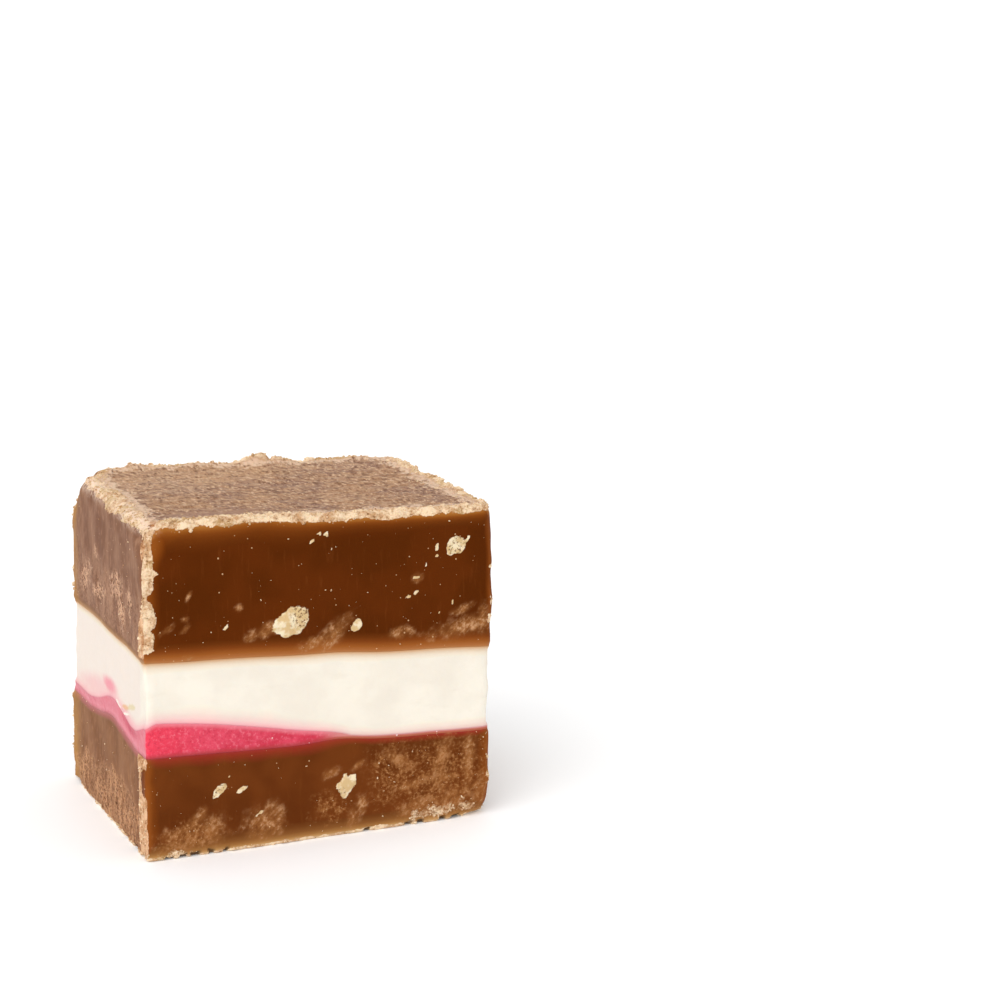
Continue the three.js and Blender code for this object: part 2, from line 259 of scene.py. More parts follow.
def side_distances(p):
    """How far in each point is from the four cuts, front, right, back and left."""
    away = []
    for k in range(4):
        start = corner_at(k, p[..., 2])
        along = unit(corner_at(k + 1, p[..., 2]) - start)
        off = p[..., :2] - start
        away.append(off[..., 1] * along[..., 0] - off[..., 0] * along[..., 1])
    return away


def patch(side, p, where, soft, seed, along, up, half_width, half_height, turn=0, ragged=0.5):
    """A ragged oval mark on one side: 1 inside, 0 outside, turned by `turn` degrees."""
    angle = np.radians(turn)
    da, dz = along_side(side, p) - along, p[..., 2] - up
    across = (da * np.cos(angle) + dz * np.sin(angle)) / half_width
    over = (dz * np.cos(angle) - da * np.sin(angle)) / half_height
    edge = np.hypot(across, over) + ragged * (bumps(p, 0.55, seed) + 0.5 * bumps(p, 0.24, seed + 3))
    return np.where(side == where, ease(edge, 1 + soft, 1 - soft), 0)


def marks_on(side, p, patches, soft=0.2):
    """The strongest of several ragged marks at each point."""
    listed = [(where, values) for where, each in patches.items() for values in each]
    masks = [
        patch(side, p, where, soft, 5.0 + 7.0 * n, *values)
        for n, (where, values) in enumerate(listed)
    ]
    return np.max(masks, axis=0)


def rim_sides(rim):
    """Front, right, back and left of a ring of marks, each from the left or the front end on."""
    closed = np.concatenate([rim, rim[:1]])
    ends = np.cumsum([0, *MARKS.values()])
    front, right, back, left = [closed[a : b + 1] for a, b in zip(ends, ends[1:])]
    return front, right, back[::-1], left[::-1]


def put_in(name, data):
    """An object in the scene, at the origin."""
    made = bpy.data.objects.new(name, data)
    bpy.context.scene.collection.objects.link(made)
    return made


def closed_mesh(name, rows, masks, bottom, top, top_grid=None):
    """Rows of marks from the foot up, closed by fans that meet at the heights `bottom` and `top`, or
    by a grid on top."""
    count, marks = rows.shape[:2]
    points = [rows.reshape(-1, 3)]
    values = {key: [each.reshape(-1)] for key, each in masks.items()}
    ring = np.arange(count * marks).reshape(count, marks)
    onward = np.roll(ring, -1, axis=1)
    faces = np.stack([ring[:-1], onward[:-1], onward[1:], ring[1:]], -1).reshape(-1, 4).tolist()

    def add_points(more, more_masks):
        first = sum(len(part) for part in points)
        points.append(more.reshape(-1, 3))
        for key in values:
            values[key].append(more_masks[key].reshape(-1))
        return first

    def fan(height, edge, upward):
        middle = add_points(np.array([0.0, 0.0, height]), dict.fromkeys(values, np.zeros(1)))
        for a, b in zip(edge, np.roll(edge, -1)):
            faces.append([a, b, middle] if upward else [b, a, middle])

    fan(bottom, ring[0].tolist(), False)
    if top_grid is None:
        fan(top, ring[-1].tolist(), True)
    else:
        inner = top_grid[0].shape[:2]
        first = add_points(*top_grid)
        grid = np.zeros((inner[0] + 2, inner[1] + 2), int)
        grid[1:-1, 1:-1] = first + np.arange(inner[0] * inner[1]).reshape(inner)
        grid[0], grid[:, -1], grid[-1], grid[:, 0] = rim_sides(ring[-1])
        cells = np.stack([grid[:-1, :-1], grid[:-1, 1:], grid[1:, 1:], grid[1:, :-1]], -1)
        faces.extend(cells.reshape(-1, 4).tolist())

    mesh = bpy.data.meshes.new(name)
    mesh.from_pydata((np.concatenate(points) * MM).tolist(), [], faces)
    for key, parts in values.items():
        layer = mesh.attributes.new(key, "FLOAT", "POINT")
        layer.data.foreach_set("value", np.concatenate(parts).astype(np.float32))
    mesh.shade_smooth()
    mesh.update()
    return put_in(name, mesh)


# Marks of the base, by side: pale chunks, chunks full of pits, clouds where undissolved sugar shows
# through, and grainy parts. Each is along, up, half width, half height and, where they aren't those
# of `patch`, turn and raggedness.
BASE_MARKS = {
    "pale": {
        FRONT: [
            (-9.05, 5.25, 0.8, 0.34, 38, 0.25), (-8.3, 6.3, 0.14, 0.07, 50, 0.3),
            (-7.2, 5.14, 0.42, 0.18, 22, 0.3), (1.75, 4.24, 0.95, 0.75, 52, 0.35),
            (2.3, 4.79, 0.3, 0.35, -20, 0.45), (-5.75, 2.89, 0.55, 0.14, 30, 0.6),
        ],
        RIGHT: [(6.2, 4.2, 1.2, 0.9, 20, 0.4), (-6.4, 2.6, 0.6, 0.4, 40, 0.4)],
        BACK: [(-7.8, 4.6, 1.5, 1.0, -15, 0.35), (4.4, 3.0, 0.6, 0.4, 30, 0.4)],
    },
    "pitted": {
        FRONT: [(-9.0, 5.3, 0.75, 0.3, 38, 0.4), (1.4, 3.79, 0.35, 0.35, 0, 0.6)],
        RIGHT: [(6.6, 4.4, 0.6, 0.5, 30)],
        BACK: [(-8.3, 4.6, 0.8, 0.6)],
    },
    "cloud": {
        FRONT: [
            (-5.3, 2.14, 1.5, 1.1, 25, 0.4), (-11.4, 1.79, 2.2, 0.7, 5),
            (-11.2, 2.69, 1.3, 0.5, 48), (-9.6, 1.99, 0.7, 0.9), (2.9, 5.89, 0.55, 0.2, 35, 0.4),
            (0.4, 5.49, 0.6, 0.3, 20), (3.2, 2.49, 0.5, 0.6, -10), (2.3, 1.29, 0.5, 0.8),
            (6.6, 5.79, 1.2, 0.4, -30), (7.6, 3.59, 1.2, 0.3, 12), (10.2, 5.29, 0.5, 1.6, -20),
            (10.4, 3.69, 0.9, 0.6, 20), (12.7, 4.99, 0.4, 1.8), (8.4, 1.59, 1.6, 0.7, 8, 0.45),
            (11.3, 1.69, 1.2, 0.8, 20, 0.45), (13.6, 1.9, 0.6, 1.2),
        ],
        RIGHT: [(-2.0, 2.6, 3.0, 1.4, 10), (7.5, 1.6, 2.2, 1.2, -10), (-9.6, 4.2, 1.2, 2.0)],
        BACK: [(0.5, 2.2, 3.2, 1.3, -8), (9.5, 5.0, 1.6, 1.6)],
    },
    "grainy": {
        FRONT: [
            (6.1, 5.09, 2.0, 1.9), (5.4, 3.19, 1.2, 0.8, 40, 0.6), (0.3, 2.69, 1.3, 1.1, 0, 0.6),
            (10.4, 3.7, 4.0, 3.0, 0, 0.3), (-12.0, 1.6, 2.2, 1.1, 20),
        ],
        RIGHT: [(3.0, 5.0, 2.0, 1.6, 0, 0.6)],
        BACK: [(5.0, 4.6, 2.2, 1.4, 0, 0.6)],
    },
}
SOFT = {"pale": 0.2, "pitted": 0.2, "cloud": 0.8, "grainy": 0.7}  # how softly each kind ends

# Where the foot has crumbled: torn places, and notches in the front as along and half width.
NOTCH_DEPTH = 0.3
FOOT_NOTCHES = [
    (-13.4, 0.5), (-12.3, 0.4), (-11.2, 0.55), (-9.9, 0.3), (-8.6, 0.25), (3.6, 0.35), (7.3, 0.5),
    (8.4, 0.3), (10.4, 0.35), (11.6, 0.5),
]
BASE_CRUMBLED = {
    FRONT: [(9.4, 1.0, 2.5, 0.65, 8, 0.55), (12.6, 0.9, 1.3, 0.4, 5), (-12.6, 0.5, 1.6, 0.3)],
    RIGHT: [(3.0, 0.8, 2.0, 0.5)],
    BACK: [(-4.0, 0.9, 2.2, 0.6)],
}


def near_edges(p):
    """How far in each point is from the four cuts; from each upright edge, along both of the cuts
    that meet there; and from each upright edge in all, less what it has lost to its rounding."""
    from_cut = side_distances(p)
    insets = [(np.maximum(from_cut[k], 0), np.maximum(from_cut[k - 1], 0)) for k in range(4)]
    past = [a + b - 0.5 * rounding(k, p[..., 2]) for k, (a, b) in enumerate(insets)]
    return from_cut, insets, past


def torn_strip(side, insets, rough, width):
    """The near left edge: the knife tore a strip off the left side, up to the front cut."""
    from_front, from_left = insets[0]
    on_left = ease(width + 0.25 * rough - from_front, -0.1, 0.2)
    on_front = ease(0.08 + 0.1 * rough - from_left, -0.05, 0.05)
    return np.where(side == LEFT, on_left, np.where(side == FRONT, on_front, 0))


def burr_of(past, rough, widths):
    """Crumbs along the upright edges, each given with the width of its burr."""
    each = [ease(width + 0.25 * rough - past[k], -0.1, 0.12) for k, width in widths.items()]
    return np.max(each, axis=0)


def gold_of(side, past, ragged, reach):
    """Round the far left edge the brown is thin and golden, less so on the back."""
    share = np.where(side == LEFT, 1.0, 0.5) * (side != FRONT)
    return hump(past[3] + ragged, reach) * share


def smeared_side(side):
    """The left and back cuts, smeared by the knife; the browns there also get a painted sheen."""
    return (side == LEFT) | (side == BACK)


def base_masks(p, cut):
    side, x, y, z = cut["side"], p[..., 0], p[..., 1], p[..., 2]
    _, insets, past = near_edges(p)
    rough = bumps(p, 0.6, 9) + 0.6 * bumps(p, 0.25, 4)
    strip = torn_strip(side, insets, rough, 2.1) * ease(base_top(x, y) - z, -0.1, 0.15)
    # High up the strip is bare brown inside a pale line.
    bare = ease(insets[0][0], 1.6, 0.9) * ease(z, 4.9, 5.7) * ease(z, 8.0, 7.4)
    burr = burr_of(past, rough, {1: -0.18, 2: 0.1, 3: -0.02})
    ragged_x = x + 0.2 * bumps(p, 0.5, 73)
    front_gaps = [ease(abs(ragged_x - at), width, 0.6 * width) for at, width in FOOT_NOTCHES]
    notch = ease(bumps(p * (1, 1, 0.3), 0.8, 71) + 0.5 * bumps(p, 2.6, 72), 0.35, 0.6)
    notch = np.where(side == FRONT, np.max(front_gaps, axis=0), notch)
    notch = notch * ease(z + 0.15 * rough, 0.5, 0.25)
    foot_width = 0.26 + 0.12 * rough + 0.16 * bumps(p, 2.3, 2)
    foot_line = ease(foot_width - z, -0.06, 0.08) * (1 - notch)
    smeared = smeared_side(side) * (1 - strip)
    # On a smeared side the lower part is torn by the knife, up to a slanting edge.
    torn_top = np.where(side == LEFT, 3.7 + 1.1 * hump(y + 3.5, 7.0), 3.4 + 0.1 * x)
    torn = ease(torn_top + 0.7 * bumps(p, 1.7, 6) + 0.4 * rough - z, -0.3, 0.5)
    torn = torn * between(0.55, 1.0, ease(bumps(p, 1.8, 26), -0.4, 0.3))
    return {
        "crust": np.maximum.reduce([burr, foot_line, 0.55 * marks_on(side, p, BASE_CRUMBLED, 0.7)]),
        "notch": notch,
        "strip": strip * (1 - 0.8 * bare),
        "smeared": smeared,
        "torn": torn * smeared,
        **{key: marks_on(side, p, BASE_MARKS[key], soft) for key, soft in SOFT.items()},
        "from_edge": np.minimum.reduce(past) + 0.4,
        "from_foot": z,
        "far_edge": gold_of(side, past, 0.6 * rough, 1.8),
        "under_joint": (base_top(x, y) - z) * between(1.0, 2.0, ease(x, 0.0, 4.0)),
        **dict.fromkeys(("dried", "dust", "powder"), np.zeros_like(z)),
    }


def roughen(p, facing, masks):
    """Push the rough parts of a brown layer in and out along `facing`."""
    clumps = 0.8 * rubble(p, 1.0, 11) + 0.5 * bumps(p, 0.5, 6) + 0.35 * bumps(p, 0.24, 15) - 0.35
    torn = bumps(p, 0.45, 3) + 0.8 * bumps(p, 0.22, 8)
    fine = bumps(p, 0.3, 21) + 0.7 * bumps(p, 0.18, 14)
    push = 0.21 * masks["crust"] * clumps + 0.09 * masks["strip"] * (clumps + 0.2)
    push += 0.055 * masks["torn"] * torn + 0.02 * masks["smeared"] * bumps(p * (1, 1, 0.5), 0.6, 12)
    push += masks["pale"] * (0.06 + 0.05 * fine) - 0.12 * masks["pitted"] * ease(fine, 0.1, 0.7)
    push += 0.03 * masks["cloud"] * fine + 0.03 * masks["grainy"] * fine
    return p + facing * push[..., None]


# Round the foot's worn edge, from the flat underside up to the side.
foot = cut_outline(np.zeros((1, ROUND_MARKS)))["place"][0]
foot_radius = worn(foot, FEET, CHIPS, FOOT_ROUND)
angle = np.radians(np.linspace(90, 0, BEND_ROWS["foot"] + 1)[:-1])[:, None]
bend_z = foot_radius * (1 - np.sin(angle))
bend_out = STAND_OUT["base"] - foot_radius * (1 - np.cos(angle))
base_joint = meeting_heights(base_top)
wall_z, wall_out = side_rows("base", foot_radius, base_joint, step_low=False)
base_z = np.concatenate([bend_z, wall_z])
base_points, base_facing, base_cut = side_points(base_z, np.concatenate([bend_out, wall_out]))
base_values = base_masks(base_points, base_cut)
# Neither the underside nor the joint is roughened.
free = ease(base_points[..., 2], 0.0, 0.12) * ease(base_values["under_joint"], 0.0, 0.3)
base_points = between(base_points, roughen(base_points, base_facing, base_values), free[..., None])
base_points = base_points - NOTCH_DEPTH * base_facing * base_values["notch"][..., None]
base_piece = closed_mesh("brown_base", base_points, base_values, 0, base_top(0, 0))


def linear(code):
    """A hex colour as the renderer wants it."""
    parts = np.array([int(code[i : i + 2], 16) / 255 for i in (0, 2, 4)])
    return (*np.where(parts < 0.04045, parts / 12.92, ((parts + 0.055) / 1.055) ** 2.4), 1.0)


class Flow:
    """What comes out of a node. Sums and products of flows add the nodes that work them out."""

    def __init__(self, socket):
        self.socket = socket

    def out(self, key):
        """Another output of the same node."""
        return Flow(self.socket.node.outputs[key])

    def __add__(self, other):
        return node("ShaderNodeMath", [self, other], operation="ADD")

    def __sub__(self, other):
        return node("ShaderNodeMath", [self, other], operation="SUBTRACT")

    def __mul__(self, other):
        return node("ShaderNodeMath", [self, other], operation="MULTIPLY")


def plug(socket, value):
    if isinstance(value, Flow):
        tree.links.new(value.socket, socket)
    elif isinstance(value, str) and socket.type == "RGBA":
        socket.default_value = linear(value)
    else:
        socket.default_value = value


def fill_in(made, inputs):
    """Set a node's inputs, listed in order or by name or number."""
    for key, value in inputs.items() if isinstance(inputs, dict) else enumerate(inputs):
        if value is not None:
            plug(made.inputs[key], value)


def node(kind, inputs, pick=0, **settings):
    """A new node in `tree`, the tree that is being built; the output that is picked comes back."""
    made = tree.nodes.new(kind)
    for key, value in settings.items():
        setattr(made, key, value)
    fill_in(made, inputs)
    return Flow(made.outputs[pick])


def blend(share, under, over, mode="MIX"):
    inputs = {0: share, 6: under, 7: over}
    return node("ShaderNodeMix", inputs, 2, data_type="RGBA", blend_type=mode)


def coated(colour, *coats):
    """A colour with others laid over it in turn, each after the share of it that shows."""
    for share, over in coats:
        colour = blend(share, colour, over)
    return colour


def graded(value, low, high, to_low=0.0, to_high=1.0):
    inputs = [value, low, high, to_low, to_high]
    return node("ShaderNodeMapRange", inputs, interpolation_type="SMOOTHSTEP")


def mask(name):
    return node("ShaderNodeAttribute", [], "Fac", attribute_name=name)


def shades(name, stops):
    """Colours along a mask that holds a distance in millimetres, from 0 on."""
    span = max(stops)
    colour = node("ShaderNodeValToRGB", {"Fac": mask(name) * (1 / span)}, "Color")
    marks = colour.socket.node.color_ramp.elements
    marks.remove(marks[1])
    marks[0].position, marks[0].color = 0.0, linear(stops[0])
    for away in sorted(stops)[1:]:
        marks.new(away / span).color = linear(stops[away])
    return colour


def place(drawn=(1.0, 1.0, 1.0), turn=(0.0, 0.0, 0.0)):
    """Object coordinates in millimetres, turned and then drawn out along each axis."""
    scale = tuple(MM * d for d in drawn)
    coordinates = node("ShaderNodeTexCoord", [], "Object")
    return node("ShaderNodeMapping", [coordinates, None, turn, scale], vector_type="TEXTURE")


def grain(size, detail=3.0, roughness=0.55, **how):
    """A fine uneven pattern, from 0 to 1, with grains about `size` across."""
    return node("ShaderNodeTexNoise", [place(**how), None, 1.0 / size, detail, roughness])


SOCKETS = {
    str: "NodeSocketColor", float: "NodeSocketFloat", int: "NodeSocketInt",
    bpy.types.Material: "NodeSocketMaterial", type(None): "NodeSocketGeometry",
}


def new_group(name, kind, inputs, outputs):
    """Start a group of nodes as the tree that is built. Its sockets are given with what they hold,
    None for a surface. The group comes back, with its inputs and outputs as seen from inside."""
    global tree
    tree = bpy.data.node_groups.new(name, kind)
    for in_out, sockets in (("INPUT", inputs), ("OUTPUT", outputs)):
        for label, value in sockets.items():
            holds = SOCKETS[type(value)]
            socket = tree.interface.new_socket(label, in_out=in_out, socket_type=holds)
            if value is not None:
                socket.default_value = linear(value) if isinstance(value, str) else value
    given = {socket.name: Flow(socket) for socket in tree.nodes.new("NodeGroupInput").outputs}
    return tree, given, tree.nodes.new("NodeGroupOutput")


def use_group(group, pick, **inputs):
    return node("ShaderNodeGroup", inputs, pick, node_tree=group)


def new_material(name):
    """Start a material as the tree that is built; its shader comes back too."""
    global tree
    material = bpy.data.materials.new(name)
    material.use_nodes = True
    tree = material.node_tree
    return material, tree.nodes["Principled BSDF"]


def relief(height, strength, depth):
    """Unevenness too fine for the mesh, up to `depth` millimetres."""
    inputs = {"Height": height, "Strength": strength, "Distance": depth * MM}
    return node("ShaderNodeBump", inputs, "Normal")


def glow(weight, reach, scale):
    """How much light goes in under the surface and how far, in millimetres, for each colour."""
    return {
        "Subsurface Weight": weight, "Subsurface Radius": reach, "Subsurface Scale": scale * MM,
    }


# Undissolved sugar: tiny pale points scattered through the fudge, few of them large.
sugar_points, given, out = new_group(
    "sugar points", "ShaderNodeTree", {"Spacing": 0.35, "Share": 0.3}, {"Mask": 0.0}
)
crowd = node("ShaderNodeMath", [1.0, given["Spacing"]], operation="DIVIDE")
cells = node("ShaderNodeTexVoronoi", {"Vector": place(), "Scale": crowd}, "Distance")
luck = node("ShaderNodeSeparateColor", {"Color": cells.out("Color")})
size = luck.out(1) * (luck.out(1) * 0.2)
swarms = graded(grain(2.2, 2.0), 0.42, 0.64, 0.15, 1.0)
lucky = node("ShaderNodeMath", [luck, given["Share"] * swarms], operation="LESS_THAN")
fill_in(out, {"Mask": graded(size - cells, -0.05, 0.03) * lucky})

# Dry crumbly crust: cream crumbs grown together, tan in their hollows, with a few brown cracks.
# The tan is partly the crust's own colour and partly painted shade; the dark cracks, where the
# crust's bump is lowest, are painted shade.
dry_crust, given, out = new_group(
    "dry crust", "ShaderNodeTree",
    {"Pale": "edd3b2", "Tan": "c49a72", "Gold": "b08a50", "Crack_shade": "64401c"},
    {"Colour": "000000", "Height": 0.0},
)
fine = grain(0.26, 5.0, 0.68)
broad = grain(1.1, 3.0, 0.6)
wide = grain(2.6, 2.0, 0.6)
colour = coated(
    given["Tan"],
    (graded(broad * 0.7 + fine * 0.45, 0.46, 0.66), given["Pale"]),
    (graded(wide - fine * 0.5, 0.28, 0.38) * 0.5, given["Gold"]),
    (graded(broad * 0.3 + fine, 0.56, 0.46) * 0.8, given["Crack_shade"]),
)
fill_in(out, {"Colour": colour, "Height": fine})

# Smeared cut: the knife has drawn a thin dull skin over the brown, scuffed pale where it tore.
# Its greyish colour and lighter clouds are also a painted sheen, as a cut seen edge-on shows.
smear_and_sheen, given, out = new_group(
    "smear and sheen", "ShaderNodeTree",
    {"Skin": "845b42", "Scuff": "dcae8c", "Torn": 0.0}, {"Colour": "000000", "Height": 0.0},
)
combed = grain(0.42, 4.0, 0.6, drawn=(1.0, 1.0, 2.2), turn=(0.12, 0.0, 0.0))
dragged = grain(0.8, 4.0, 0.62, drawn=(1.0, 1.0, 2.2), turn=(0.1, 0.0, 0.0))
cloudy = grain(2.4, drawn=(1.0, 1.0, 1.6))
speck = grain(0.24, 4.0, 0.72)
scuffed = graded(speck * 0.75 + dragged * 0.5, 0.55, 0.7) * given["Torn"]
colour = coated(
    given["Skin"],
    (graded(cloudy, 0.36, 0.66), blend(0.2, given["Skin"], given["Scuff"])),
    (graded(combed, 0.5, 0.72) * 0.2, given["Scuff"]),
    (scuffed * 0.9, given["Scuff"]),
    # Dark where the speck bump is lowest: painted shade in the torn pits.
    (graded(speck, 0.45, 0.37) * given["Torn"] * 0.85, "52331f"),
)
fill_in(out, {"Colour": colour, "Height": combed * 0.5 + speck * given["Torn"]})


def brown_fudge(name, deep, light, skin_sheen, scuff, cut_glow_shades, smear_shades):
    """Brown fudge: see-through brown where cut clean, dull where smeared, pale where dry. The
    shades are masks with the colours that the cut and the smeared skin take on near them. The
    cut's shades are painted glow, light shining through thin brown near joints and edges, and
    the smeared skin's grey is partly a painted sheen."""
    material, shader = new_material(name)
    fine = grain(0.25, 4.0, 0.62)
    streaks = grain(0.4, 3.0, 0.6, drawn=(1.0, 1.0, 7.0))
    fibres = grain(0.28, 4.0, 0.6, drawn=(2.6, 1.0, 1.0), turn=(0.0, -0.8, 0.0))
    puffs = grain(0.9, 4.0, 0.6)
    clean = coated(
        deep,
        (graded(grain(5.0, 2.0), 0.4, 0.62), light),
        (graded(streaks, 0.55, 0.8) * 0.18, "8a4c20"),
    )
    # Painted glow: each shade only lightens the cut, as light shining through thin brown would.
    for near, stops in cut_glow_shades.items():
        clean = blend(1.0, clean, shades(near, stops), "LIGHTEN")
    # Clouds of fine sugar: diagonal fibres and soft puffs just under the surface.
    threads = fibres * 0.4 + puffs * 0.6
    cloud = graded(threads, 0.34, 0.62, 0.25, 1.0) * mask("cloud")
    clean = coated(
        clean,
        (cloud * 0.78, "a86f3e"),
        (cloud * graded(threads + fine * 0.5, 0.72, 0.92) * 0.7, "cfa27a"),
        (mask("grainy") * graded(puffs * 0.6 + fine, 0.68, 0.98) * 0.8, "9e683a"),
        (mask("grainy") * graded(fine, 0.56, 0.72) * 0.6, "c49468"),
    )
    # The knife's smeared skin, its greyish colour also a painted sheen.
    smear_sheen = use_group(smear_and_sheen, "Colour", Skin=skin_sheen, Scuff=scuff, Torn=mask("torn"))
    smeared = smear_sheen
    for near, stops in smear_shades.items():
        reach = max(stops)
        share = graded(mask(near), reach, 0.5 * reach) * 0.85
        smeared = blend(share, smeared, shades(near, stops))
    smeared = blend(mask("far_edge") * 0.85, smeared, "b08048")
    # Lumps of sugar, cream where solid and speckled with brown where they are pitted.
    ragged = fine - 0.5
    pits = graded(grain(0.2, 3.0, 0.6), 0.47, 0.39) * mask("pitted")
    lump = coated("d3b585", (graded(puffs, 0.42, 0.6), "ecdcbc"), (pits * 0.85, "6a4426"))
    crust = use_group(dry_crust, "Colour")
    torn_edge = {"Pale": "deb48f", "Tan": "b4825a", "Gold": "ae7e50", "Crack_shade": "74492f"}
    strip = graded(mask("strip") + ragged, 0.35, 0.65)
    crusty = graded(mask("crust") + ragged, 0.35, 0.65)
    points = use_group(sugar_points, "Mask", Spacing=0.35, Share=0.16)
    colour = coated(
        clean,
        (mask("smeared"), smeared),
        # Painted shade: the notches at the foot are coloured near black, the shade inside them.
        (mask("notch") * 0.85, "34190a"),
        (graded(mask("pale") + ragged, 0.36, 0.66), lump),
        (strip, use_group(dry_crust, "Colour", **torn_edge)),
        (crusty, crust),
        (mask("powder") * graded(fine + puffs * 0.5, 0.6, 0.85) * 0.8, "efd4bf"),
        (points * 0.7, "e2b98c"),
    )
    height = fine * 0.2 + streaks * 0.15 + (crusty + strip) * crust.out("Height")
    height = height + mask("smeared") * smear_sheen.out("Height") + points * 0.8
    fill_in(shader, {
        "Base Color": colour,
        "Roughness": graded(crusty + strip + mask("smeared") * 0.35, 0.0, 1.0, 0.42, 0.9),
        "Normal": relief(height, 0.4, 0.12),
        "Specular IOR Level": 0.02,
        **glow(0.1, (1.0, 0.45, 0.2), 0.3),
    })
    return material


# Painted glow on the cut: reddish under the pink, golden up from the foot above its pale crumbly
# line, and along the upright edges.
base_brown = brown_fudge(
    "brown fudge, base", "602e0d", "6c3612", "7e5439", "c7956e",
    {
        "under_joint": {0: "962e2b", 0.25: "892f1e", 0.6: "792f18", 1.1: "602e0d"},
        "from_foot": {
            0: "e2ccac", 0.15: "d2ae80", 0.3: "bb8e5a", 0.5: "a0703e", 0.8: "85542a",
            1.2: "71411c", 1.7: "602e0d",
        },
        "from_edge": {0: "a8672e", 0.3: "8c4c1c", 0.7: "773c12", 1.3: "602e0d"},
    },
    {"under_joint": {0: "bf767a", 0.12: "b06a6a", 0.3: "a0635a", 0.6: "8f6351"}},
)
base_piece.data.materials.append(base_brown)
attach(base_piece, "root")
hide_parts("base_fudge")

# ---- Pink wedge --------------------------------------------------------------------------------
# A thin pour of pink fudge on a slope: 3 mm at the front left corner, a line of colour past the
# middle. It is full of sugar grains, and the knife has dragged white down over it on the left.


def pink_thickness(x, y):
    run = np.maximum(x + 15.2, 0) / 17.6
    to_right = np.maximum(0, 1 - run**1.6)
    to_back = between(1, 0.2, ease(y, -12, 8))
    left = 1 - 0.55 * hump(y + 7.6, 4.0) * (1 - ease(x, -15.2, -14.1))
    return 0.25 + 2.65 * to_right * to_back * left


def pink_top(x, y):
    return base_top(x, y) + pink_thickness(x, y)


def off_joints(values):
    """1 away from the joints and 0 at them, where the layers have to go on meeting."""
    return ease(np.minimum(values["under_joint"], values["over_joint"]), 0.0, 0.3)[..., None]


pink_joint = meeting_heights(pink_top)
pink_z, pink_out = side_rows("pink", base_joint, pink_joint)
pink_points, pink_facing, pink_cut = side_points(pink_z, pink_out)
x, y, z = np.moveaxis(pink_points, -1, 0)
on_smear = smeared_side(pink_cut["side"])
pink_values = {
    "under_joint": pink_top(x, y) - z,
    "over_joint": z - base_top(x, y),
    "smeared": on_smear,
    "thin": 1 - ease(pink_thickness(x, y), 0.3, 1.0),
    "corner": hump(np.maximum(x + 15.0, 0), 3.5),
    "streak": on_smear * hump(pink_top(x, y) - z - 0.4, 0.4) * hump(y + 7.0, 2.4),
}
grainy = 0.03 * bumps(pink_points, 0.4, 31) + 0.03 * (rubble(pink_points, 0.4, 33) - 0.4)
pink_points = pink_points + pink_facing * grainy[..., None] * off_joints(pink_values)
pink_piece = closed_mesh("pink_wedge", pink_points, pink_values, base_top(0, 0), pink_top(0, 0))

pink, shader = new_material("pink fudge")
fine = grain(0.3, 4.0, 0.65)
combed = grain(0.5, 3.0, 0.6, drawn=(1.0, 4.0, 1.0), turn=(0.5, 0.0, 0.0))
veil = coated(
    shades("over_joint", {0: "b36863", 0.15: "cf7a84", 0.35: "dc8a94", 0.7: "d9808c", 1.2: "da7e8a"}),
    (graded(combed, 0.5, 0.72) * 0.6, "c65a6c"),
    (mask("streak") * 0.85, "be3f58"),
)
points = use_group(sugar_points, "Mask", Spacing=0.45, Share=0.3)
colour = coated(
    "cb374d",
    (graded(grain(1.6), 0.35, 0.65), "da4a61"),
    (mask("corner") * 0.7, "ee4058"),
    (graded(fine, 0.5, 0.7) * 0.45, "ef8494"),
    (graded(fine, 0.44, 0.34) * 0.5, "b92c44"),
    (graded(mask("over_joint"), 0.5, 0.0) * 0.9, "a53a3c"),
    (graded(mask("under_joint"), 0.5, 0.0) * 0.7, "ee8c98"),
    (mask("thin"), shades("over_joint", {0: "a4593c", 0.12: "b4604c", 0.25: "d48a84"})),
    (mask("smeared") * 0.92, veil),
    (points * 0.8, "fbdcd8"),
)
fill_in(shader, {
    "Base Color": colour,
    "Roughness": graded(fine, 0.3, 0.7, 0.4, 0.6),
    "Normal": relief(fine + points, 0.35, 0.12),
    "Specular IOR Level": 0.12,
    **glow(0.15, (1.0, 0.4, 0.35), 0.5),
})
pink_piece.data.materials.append(pink)
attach(pink_piece, "root")
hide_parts("pink_fudge")

# ---- White layer -------------------------------------------------------------------------------
# The thick middle pour, plain vanilla fudge: smooth and waxy where the knife went through, a little
# hollow against the browns, with faint level dents and a few specks dragged in from below.


def white_top(x, y):
    sag = 0.42 * ease(y, 1, 13) * (1 - ease(x, -13, 6))
    front_ripple = 0.2 * hump(x - 1.4, 3.0) * (1 - ease(y, -11, -2))
    swing = 0.08 * np.sin(2 * np.pi * (x / 17 + y / 31))
    return 15.6 - 0.0615 * x - sag + front_ripple + swing


white_joint = meeting_heights(white_top)
white_z, white_out = side_rows("white", pink_joint, white_joint)
white_points, white_facing, white_cut = side_points(white_z, white_out)
# A wisp of pink was dragged up into the white on the left side, in a paler haze, and crumbs below.
WISP = {LEFT: [(-0.4, 11.65, 2.2, 0.6, -4, 0.06)]}
HAZE = {LEFT: [(4.4, 10.4, 5.6, 0.8, -11, 0.06)]}
ORANGE = {LEFT: [(-5.45, 11.13, 0.85, 0.2, -8, 0.3)]}
OLIVE = {LEFT: [(-7.5, 11.65, 1.3, 0.26, -13, 0.3)]}
FLAKE = {LEFT: [(-4.15, 10.8, 1.15, 0.1, 19, 0.2), (-5.75, 10.62, 0.8, 0.08, -12, 0.2)]}


def on_white(patches, soft=0.2):
    return marks_on(white_cut["side"], white_points, patches, soft)


